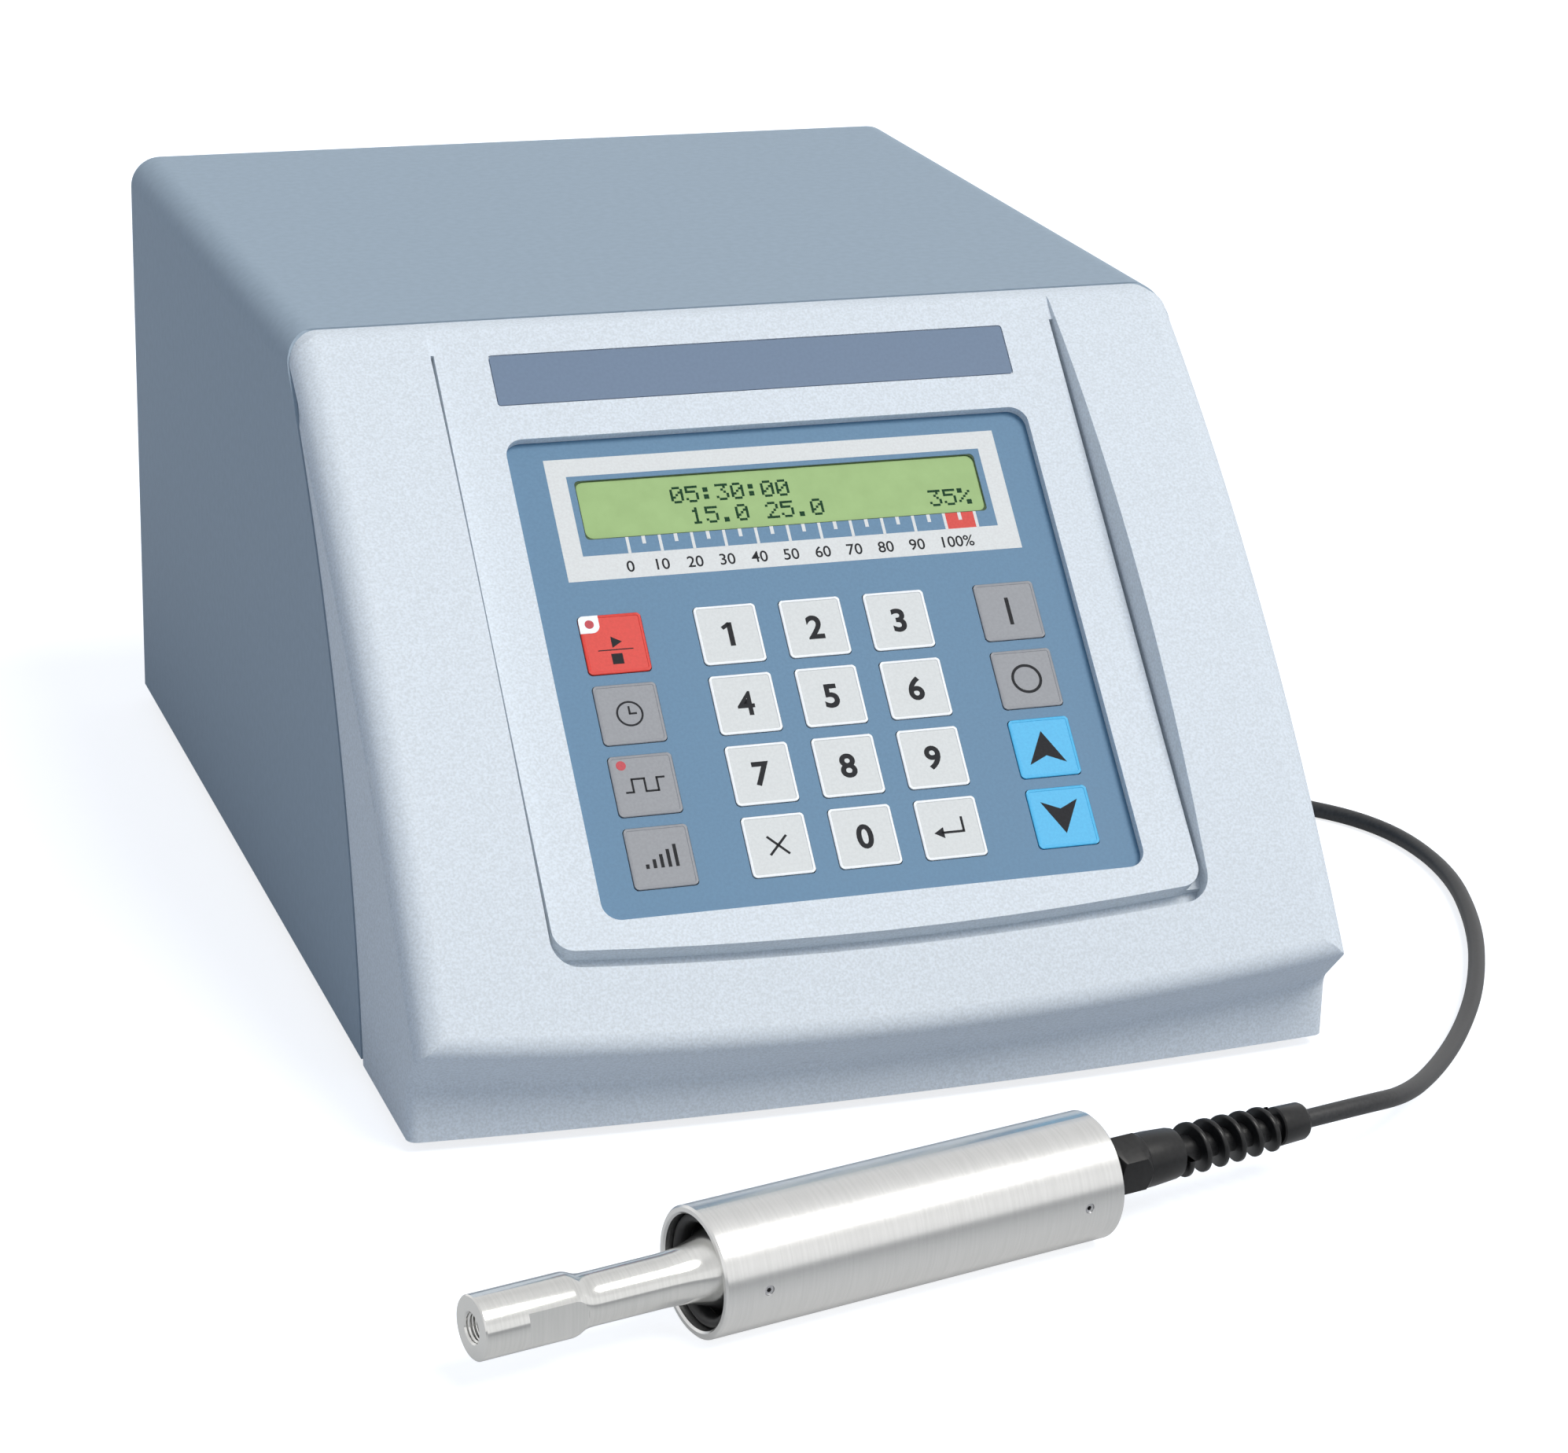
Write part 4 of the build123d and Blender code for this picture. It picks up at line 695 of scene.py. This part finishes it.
def signs_of(name):
    """The printed signs of one key, laid out round its middle."""
    if name == "1":
        return [bar(0.4, 0, 1.7, 8.3), bar(-0.85, 3.0, 3.0, 1.3, turn=32)]
    if name.isdigit():
        return [figures(name, 0, 0, 8.4, bold=0.014 if name == "4" else 0.028)]
    if name == "start":
        on_tab = Matrix.Translation((0, 0, 0.13 * mm))
        lamp = lay(disc(-6.9, 7.3, 1.5, ink_name="lamp_red"), on_tab)
        return [
            corner_tab(), lamp, disc(0.2, 0.6, 2.3, sides=3, turn=-90), bar(0, -2.1, 11.5, 0.35),
            disc(0, -5.3, 2.6, sides=4, turn=45),
        ]
    if name == "timer":
        return [ring(0, 0, 4.4, 0.65), bar(0, 1.15, 0.65, 2.9), bar(1.0, 0, 2.6, 0.65)]
    if name == "pulse":
        steps = [
            (-5.2, -2.2, 2.9, 0.65), (-4.07, 0, 0.65, 5.05), (-2.05, 2.2, 4.7, 0.65),
            (-0.02, 0, 0.65, 5.05), (2.0, -2.2, 4.7, 0.65), (4.03, 0, 0.65, 5.05),
            (5.2, 2.2, 2.9, 0.65),
        ]
        return [disc(-6.5, 7.1, 1.6, ink_name="lamp_red")] + [bar(*step) for step in steps]
    if name == "amplitude":
        return [bar(-4.8 + 2.4 * i, -3.6 + 0.75 * (i + 1), 1.1, 1.5 * (i + 1)) for i in range(5)]
    if name == "clear":
        return [bar(0, 0, 9.0, 0.8, turn=45), bar(0, 0, 9.0, 0.8, turn=-45)]
    if name == "enter":
        return [
            bar(4.2, 1.1, 0.8, 5.0), bar(0.6, -1.4, 7.9, 0.8),
            disc(-3.6, -1.4, 2.2, sides=3, turn=90),
        ]
    if name == "on":
        return [bar(0, 0, 1.3, 9.8)]
    if name == "off":
        return [ring(0, 0, 5.2, 0.95)]
    return [dart(0 if name == "up" else 180)]


# %% Twenty keys
columns_u = (-66.7, -28.6, 0.0, 28.6, 66.7)
rows_v = (-6.1, -30.7, -55.3, -79.9)
key_names = (
    ("start", "timer", "pulse", "amplitude"), ("1", "4", "7", "clear"), ("2", "5", "8", "0"),
    ("3", "6", "9", "enter"), ("on", "off", "up", "down"),
)
grey_keys = ("timer", "pulse", "amplitude", "on", "off")
for u, names in zip(columns_u, key_names):
    for v, name in zip(rows_v, names):
        cap = blank.copy()
        cap.data = blank.data.copy()
        bpy.context.collection.objects.link(cap)
        field = {"start": "key_red", "up": "key_cyan", "down": "key_cyan"}.get(name, "key_white")
        body_finish = "key_grey" if name in grey_keys else field
        cap.data.materials.clear()
        cap.data.materials.append(finishes[body_finish])
        # White keys take the lighter finish on their rim faces as a painted highlight; the other keys keep
        # one colour all over.
        cap.data.materials.append(finishes["key_rim_highlight_and_tab" if body_finish == "key_white" else body_finish])
        for face in cap.data.polygons:
            outside = max(abs(face.center.x), abs(face.center.y)) > 9.45 * mm
            face.material_index = 1 if outside and face.center.z > -3.3 * mm else 0
        signs = join_up("signs", signs_of(name))
        lay(signs, Matrix.Translation((0, 0, (field_level - 0.01) * mm)))
        key_place = panel_place @ Matrix.Translation((u * mm, v * mm, 0))
        cap = lay(join_up("keytop_" + name, [cap, signs]), key_place)
        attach(cap, "button_" + name)
        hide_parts("key_" + name)
bpy.data.objects.remove(blank)
print("keys", len(columns_u) * len(rows_v))

# %% [markdown]
# ## Gland
# Where the lead enters the converter sits a nylon gland: a flange, a short thread, a hexagon
# nut with chamfered corners and a barrel. Turned shapes are made here as on a lathe in
# reverse: a disc whose end face is drawn out and widened or narrowed by steps.

# %% Turned pieces
def turned(steps, sides=48):
    """A closed turned body through (station, radius) steps in mm, along the piece's own Z."""
    start_fresh()
    height, radius = steps[0]
    bpy.ops.mesh.primitive_circle_add(
        vertices=sides, radius=radius * mm, fill_type="NGON", location=(0, 0, height * mm),
    )
    bpy.ops.object.transform_apply(location=True, rotation=True, scale=True)
    piece = bpy.context.object
    bpy.ops.object.mode_set(mode="EDIT")
    bpy.ops.mesh.select_all(action="SELECT")
    for next_height, next_radius in steps[1:]:
        rise = (0, 0, (next_height - height) * mm)
        bpy.ops.mesh.extrude_region_move(TRANSFORM_OT_translate={"value": rise})
        factor = next_radius / radius
        bpy.ops.transform.resize(value=(factor, factor, 1))
        height, radius = next_height, next_radius
    bpy.ops.object.mode_set(mode="OBJECT")
    return tidy_mesh(piece)


flange = turned([(201.4, 9.0), (201.8, 9.2), (204.4, 9.2), (204.8, 8.9)], sides=64)
thread_steps = [(204.4, 7.4)]
for groove in range(3):
    base = 204.9 + 0.8 * groove
    thread_steps += [(base, 7.5), (base + 0.3, 8.3), (base + 0.55, 8.3)]
thread = turned(thread_steps + [(208.6, 7.5)], sides=64)
barrel = turned([
    (218.2, 8.0), (218.6, 8.35), (223.0, 8.25), (230.4, 7.75), (231.9, 7.35), (232.3, 6.6),
    (232.5, 3.2),
], sides=64)
print("flange, thread and barrel made")

# %% [markdown]
# The nut is a plain hexagon bar that is cut to what it shares with a turned body: a cylinder
# with a cone at each end. That gives the curved chamfer which every real nut has.

# %% Gland nut
nut = turned([(208.0, 9.8), (219.0, 9.8)], sides=6)
start_fresh()
bpy.ops.mesh.primitive_cone_add(
    vertices=64, radius1=10.6 * mm, radius2=8.2 * mm, depth=4.0 * mm, location=(0, 0, 217.2 * mm),
)
chamfer_cone = bpy.context.object
bpy.ops.mesh.primitive_cone_add(
    vertices=64, radius1=8.4 * mm, radius2=10.8 * mm, depth=2.4 * mm, location=(0, 0, 209.1 * mm),
)
low_cone = bpy.context.object
bpy.ops.mesh.primitive_cylinder_add(
    vertices=64, radius=10.7 * mm, depth=5.4 * mm, location=(0, 0, 212.7 * mm),
)
nut_middle = bpy.context.object
cutter = join_up("nut_round", [nut_middle, chamfer_cone, low_cone])
start_fresh()
nut.select_set(True)
bpy.context.view_layer.objects.active = nut
rounding = nut.modifiers.new("rounding", "BOOLEAN")
rounding.operation = "INTERSECT"
rounding.solver = "EXACT"
rounding.use_self = True
rounding.object = cutter
bpy.ops.object.modifier_apply(modifier="rounding")
bpy.data.objects.remove(cutter)
edges = nut.modifiers.new("edges", "BEVEL")
edges.width = 0.25 * mm
edges.segments = 2
edges.limit_method = "ANGLE"
edges.angle_limit = math.radians(40)
bpy.ops.object.modifier_apply(modifier="edges")
tidy_mesh(nut)
gland = join_up("gland", [nut, flange, thread, barrel])
bpy.ops.object.shade_smooth_by_angle(angle=math.radians(28))
lay(inked(gland, "gland_black"), axis_place)
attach(gland, "generator")
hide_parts("cable_gland")
print("gland faces", len(gland.data.polygons))

# %% [markdown]
# ## Driver
# The polished driver carries the probe. It is turned from one bar: a tip with two spanner
# flats and a threaded hole, a neck with soft fillets, a flare like a bell and the body in
# the housing. It is drawn from its back to the tip face and on into the hole, and two
# blocks then cut the flats.

# %% Driver
profile = [(102.4, 14.6), (83.4, 14.6), (83.4, 16.3), (79.4, 16.3), (79.4, 14.6), (77.6, 13.9)]
profile += [(75.6, 12.6), (73.6, 11.3), (71.6, 10.2), (69.4, 9.25), (67.2, 8.55), (65.0, 8.1), (62.0, 7.75)]
profile += [(58.0, 7.6), (36.0, 7.55), (34.0, 7.6), (32.4, 7.85), (31.2, 8.3), (30.0, 8.85), (28.9, 9.15)]
profile += [(28.0, 9.25), (0.4, 9.25), (0.0, 8.9), (0.0, 4.7), (0.5, 4.2)]
for groove in range(7):
    profile += [(1.0 + groove, 4.2), (1.4 + groove, 3.75), (1.6 + groove, 4.2)]
profile += [(16.0, 4.2)]
driver = turned(profile, sides=128)
flat_blocks = []
for side in (-1, 1):
    start_fresh()
    bpy.ops.mesh.primitive_cube_add(size=1, location=(side * 12.95 * mm, 0, 22.5 * mm))
    block = bpy.context.object
    block.scale = (10 * mm, 30 * mm, 18.6 * mm)
    bpy.ops.object.transform_apply(location=True, rotation=True, scale=True)
    flat_blocks.append(block)
flat_cutter = join_up("flat_cutter", flat_blocks)
start_fresh()
driver.select_set(True)
bpy.context.view_layer.objects.active = driver
flats = driver.modifiers.new("flats", "BOOLEAN")
flats.operation = "DIFFERENCE"
flats.solver = "EXACT"
flats.object = flat_cutter
bpy.ops.object.modifier_apply(modifier="flats")
bpy.data.objects.remove(flat_cutter)
tidy_mesh(driver)
bpy.ops.object.shade_smooth_by_angle(angle=math.radians(24))
driver.name = driver.data.name = "driver"
lay(inked(driver, "driver_titanium"), axis_place)
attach(driver, "generator")
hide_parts("front_driver")
print("driver faces", len(driver.data.polygons))

# %% Seal in the mouth of the housing
start_fresh()
bpy.ops.mesh.primitive_torus_add(
    major_radius=15.0 * mm, minor_radius=1.55 * mm, major_segments=96, minor_segments=16,
    location=(0, 0, 72.4 * mm),
)
seal = bpy.context.object
bpy.ops.object.transform_apply(location=True, rotation=True, scale=True)
bpy.ops.object.mode_set(mode="EDIT")
pick(seal, "verts", lambda middle, part: middle.z > 72.6)
bpy.ops.transform.translate(value=(0, 0, 2.0 * mm))
bpy.ops.object.mode_set(mode="OBJECT")
bpy.ops.object.shade_smooth_by_angle(angle=math.radians(40))
seal.name = seal.data.name = "mouth_seal"
lay(inked(seal, "o_ring_rubber"), axis_place)
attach(seal, "generator")
print("seal faces", len(seal.data.polygons))

# %% [markdown]
# ## Spiral strain relief
# A strain relief lets the lead bend gently. Here it is a spiral fin round a thin sleeve, so
# it bends like a spring. The Screw modifier turns a small profile round the axis while it
# climbs, and a Simple Deform then narrows the spiral towards its far end.

# %% Spiral fin
relief_start, fin_pitch, fin_turns = 232.4, 6.5, 5.6
start_fresh()
bpy.ops.mesh.primitive_plane_add(size=1, rotation=(math.radians(90), 0, 0))
fin = bpy.context.object
bpy.ops.object.transform_apply(location=True, rotation=True, scale=True)
bpy.ops.object.mode_set(mode="EDIT")
bpy.ops.mesh.select_all(action="SELECT")
bpy.ops.transform.resize(value=(4.2 * mm, 1, 2.3 * mm))
bpy.ops.transform.translate(value=(5.95 * mm, 0, 0))
pick(fin, "edges", lambda middle, part: middle.x > 7)
bpy.ops.transform.resize(value=(1, 1, 0.72))
pick(fin, "verts", lambda middle, part: middle.x > 7)
bpy.ops.mesh.bevel(offset=0.5 * mm, segments=3, affect="VERTICES")
bpy.ops.object.mode_set(mode="OBJECT")
winding = fin.modifiers.new("winding", "SCREW")
winding.angle = 2 * math.pi * fin_turns
winding.screw_offset = fin_pitch * fin_turns * mm
winding.iterations = 1
winding.steps = winding.render_steps = 220
winding.use_merge_vertices = False
bpy.ops.object.modifier_apply(modifier="winding")
print("fin faces", len(fin.data.polygons))

# %% Sleeve and end collar
narrowing = fin.modifiers.new("narrowing", "SIMPLE_DEFORM")
narrowing.deform_method = "TAPER"
narrowing.deform_axis = "Z"
narrowing.factor = -0.14
bpy.ops.object.modifier_apply(modifier="narrowing")
tidy_mesh(fin)
lay(fin, Matrix.Translation((0, 0, (relief_start + 1.3) * mm)))
sleeve = turned([(231.6, 4.3), (233.0, 4.2), (250.0, 4.0), (271.0, 3.9)], sides=40)
collar = turned([
    (269.6, 3.6), (269.7, 5.5), (270.1, 6.0), (278.6, 5.75), (279.5, 5.3), (279.9, 4.6), (279.9, 3.0),
], sides=48)
relief = join_up("strain_spiral", [fin, sleeve, collar])
bpy.ops.object.shade_smooth_by_angle(angle=math.radians(35))
lay(inked(relief, "gland_black"), axis_place)
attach(relief, "generator")
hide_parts("strain_relief")
print("relief faces", len(relief.data.polygons))

# %% [markdown]
# ## Floor and light
# The picture has an even white ground and soft light from above right. A wide sun gives
# soft edges to the shadows at the same strength everywhere, so the floor stays even. The sky
# lights the sides weakly, while the camera and the reflections see it white. Polished metal
# shows its shape by what it mirrors, so in reflections the table dims away from the object.

# %% Floor
bpy.ops.mesh.primitive_plane_add(size=30, location=(0, 0, 0))
floor = bpy.context.object
floor.name = "floor"
floor_white = bpy.data.materials.new("floor_white")
floor_white.use_nodes = True
floor_nodes, floor_links = floor_white.node_tree.nodes, floor_white.node_tree.links
floor_shader = floor_nodes["Principled BSDF"]
floor_shader.inputs["Roughness"].default_value = 0.9
floor_shader.inputs["Emission Color"].default_value = (1, 1, 1, 1)
rays = floor_nodes.new("ShaderNodeLightPath")


def floor_step(kind, first, second):
    """A maths node of the floor between two values or outputs."""
    step = floor_nodes.new("ShaderNodeMath")
    step.operation = kind
    for number, given in enumerate((first, second)):
        if isinstance(given, float):
            step.inputs[number].default_value = given
        else:
            floor_links.new(given, step.inputs[number])
    return step.outputs["Value"]


floor_where = floor_nodes.new("ShaderNodeTexCoord")
beside = floor_nodes.new("ShaderNodeMapping")
beside.vector_type = "TEXTURE"
beside.inputs["Location"].default_value = tip_place * mm
beside.inputs["Rotation"].default_value = (0, 0, axis_turn)
floor_links.new(floor_where.outputs["Object"], beside.inputs["Vector"])
aside = floor_nodes.new("ShaderNodeSeparateXYZ")
floor_links.new(beside.outputs["Vector"], aside.inputs["Vector"])
far_away = floor_nodes.new("ShaderNodeMapRange")
far_away.inputs["From Min"].default_value = -0.03
far_away.inputs["From Max"].default_value = -0.14
floor_links.new(aside.outputs["Y"], far_away.inputs["Value"])
mirrored_far = floor_step("MULTIPLY", rays.outputs["Is Glossy Ray"], far_away.outputs["Result"])
mirrored_near = floor_step("SUBTRACT", rays.outputs["Is Glossy Ray"], mirrored_far)
shade = floor_nodes.new("ShaderNodeMix")
shade.data_type = "RGBA"
shade.inputs["A"].default_value = (0.46, 0.5, 0.56, 1)
shade.inputs["B"].default_value = (0.36, 0.36, 0.36, 1)
floor_links.new(rays.outputs["Is Glossy Ray"], shade.inputs["Factor"])
floor_links.new(shade.outputs["Result"], floor_shader.inputs["Base Color"])
lift_camera = floor_step("MULTIPLY", rays.outputs["Is Camera Ray"], 0.78)
lift_mirror = floor_step("MULTIPLY", mirrored_near, 0.3)
floor_links.new(floor_step("ADD", lift_camera, lift_mirror), floor_shader.inputs["Emission Strength"])
floor.data.materials.append(floor_white)

# %% Sky and sun
world = bpy.data.worlds.new("studio")
bpy.context.scene.world = world
world.use_nodes = True
sky_nodes, sky_links = world.node_tree.nodes, world.node_tree.links
weak = sky_nodes["Background"]
weak.inputs["Color"].default_value = (0.88, 1.0, 1.17, 1)
weak.inputs["Strength"].default_value = 0.36
white = sky_nodes.new("ShaderNodeBackground")
white.inputs["Strength"].default_value = 1.0
heading = sky_nodes.new("ShaderNodeTexCoord")
height_of = sky_nodes.new("ShaderNodeSeparateXYZ")
sky_links.new(heading.outputs["Generated"], height_of.inputs["Vector"])
bands = sky_nodes.new("ShaderNodeValToRGB")
bands.color_ramp.interpolation = "EASE"
for number, (spot, tone) in enumerate(((0.0, 1.0), (0.32, 1.0), (0.5, 0.84), (0.78, 0.78), (1.0, 0.95))):
    if number > 1:
        bands.color_ramp.elements.new(spot)
    bands.color_ramp.elements[number].position = spot
    bands.color_ramp.elements[number].color = (tone, tone, tone, 1)
sky_links.new(height_of.outputs["Z"], bands.inputs["Fac"])
plain = sky_nodes.new("ShaderNodeMix")
plain.data_type = "RGBA"
plain.inputs["B"].default_value = (1, 1, 1, 1)
sky_links.new(bands.outputs["Color"], plain.inputs["A"])
sky_links.new(plain.outputs["Result"], white.inputs["Color"])
paths = sky_nodes.new("ShaderNodeLightPath")
camera_or_gloss = sky_nodes.new("ShaderNodeMath")
camera_or_gloss.operation = "MAXIMUM"
any_of = sky_nodes.new("ShaderNodeMath")
any_of.operation = "MAXIMUM"
sky_links.new(paths.outputs["Is Camera Ray"], camera_or_gloss.inputs[0])
sky_links.new(paths.outputs["Is Camera Ray"], plain.inputs["Factor"])
sky_links.new(paths.outputs["Is Glossy Ray"], camera_or_gloss.inputs[1])
sky_links.new(camera_or_gloss.outputs["Value"], any_of.inputs[0])
sky_links.new(paths.outputs["Is Transmission Ray"], any_of.inputs[1])
blend_sky = sky_nodes.new("ShaderNodeMixShader")
sky_links.new(any_of.outputs["Value"], blend_sky.inputs["Fac"])
sky_links.new(weak.outputs["Background"], blend_sky.inputs[1])
sky_links.new(white.outputs["Background"], blend_sky.inputs[2])
sky_links.new(blend_sky.outputs["Shader"], sky_nodes["World Output"].inputs["Surface"])
bpy.ops.object.light_add(type="SUN", location=(0.7, -1.1, 1.5))
sun = bpy.context.object
sun.data.energy = 2.15
sun.data.color = (1.0, 0.98, 0.94)
sun.data.angle = math.radians(28)
sun.rotation_euler = Vector((0.35, -0.42, 0.84)).to_track_quat("Z", "Y").to_euler()
bpy.context.scene.view_settings.view_transform = "Standard"

# %% Finish
bpy.context.view_layer.update()
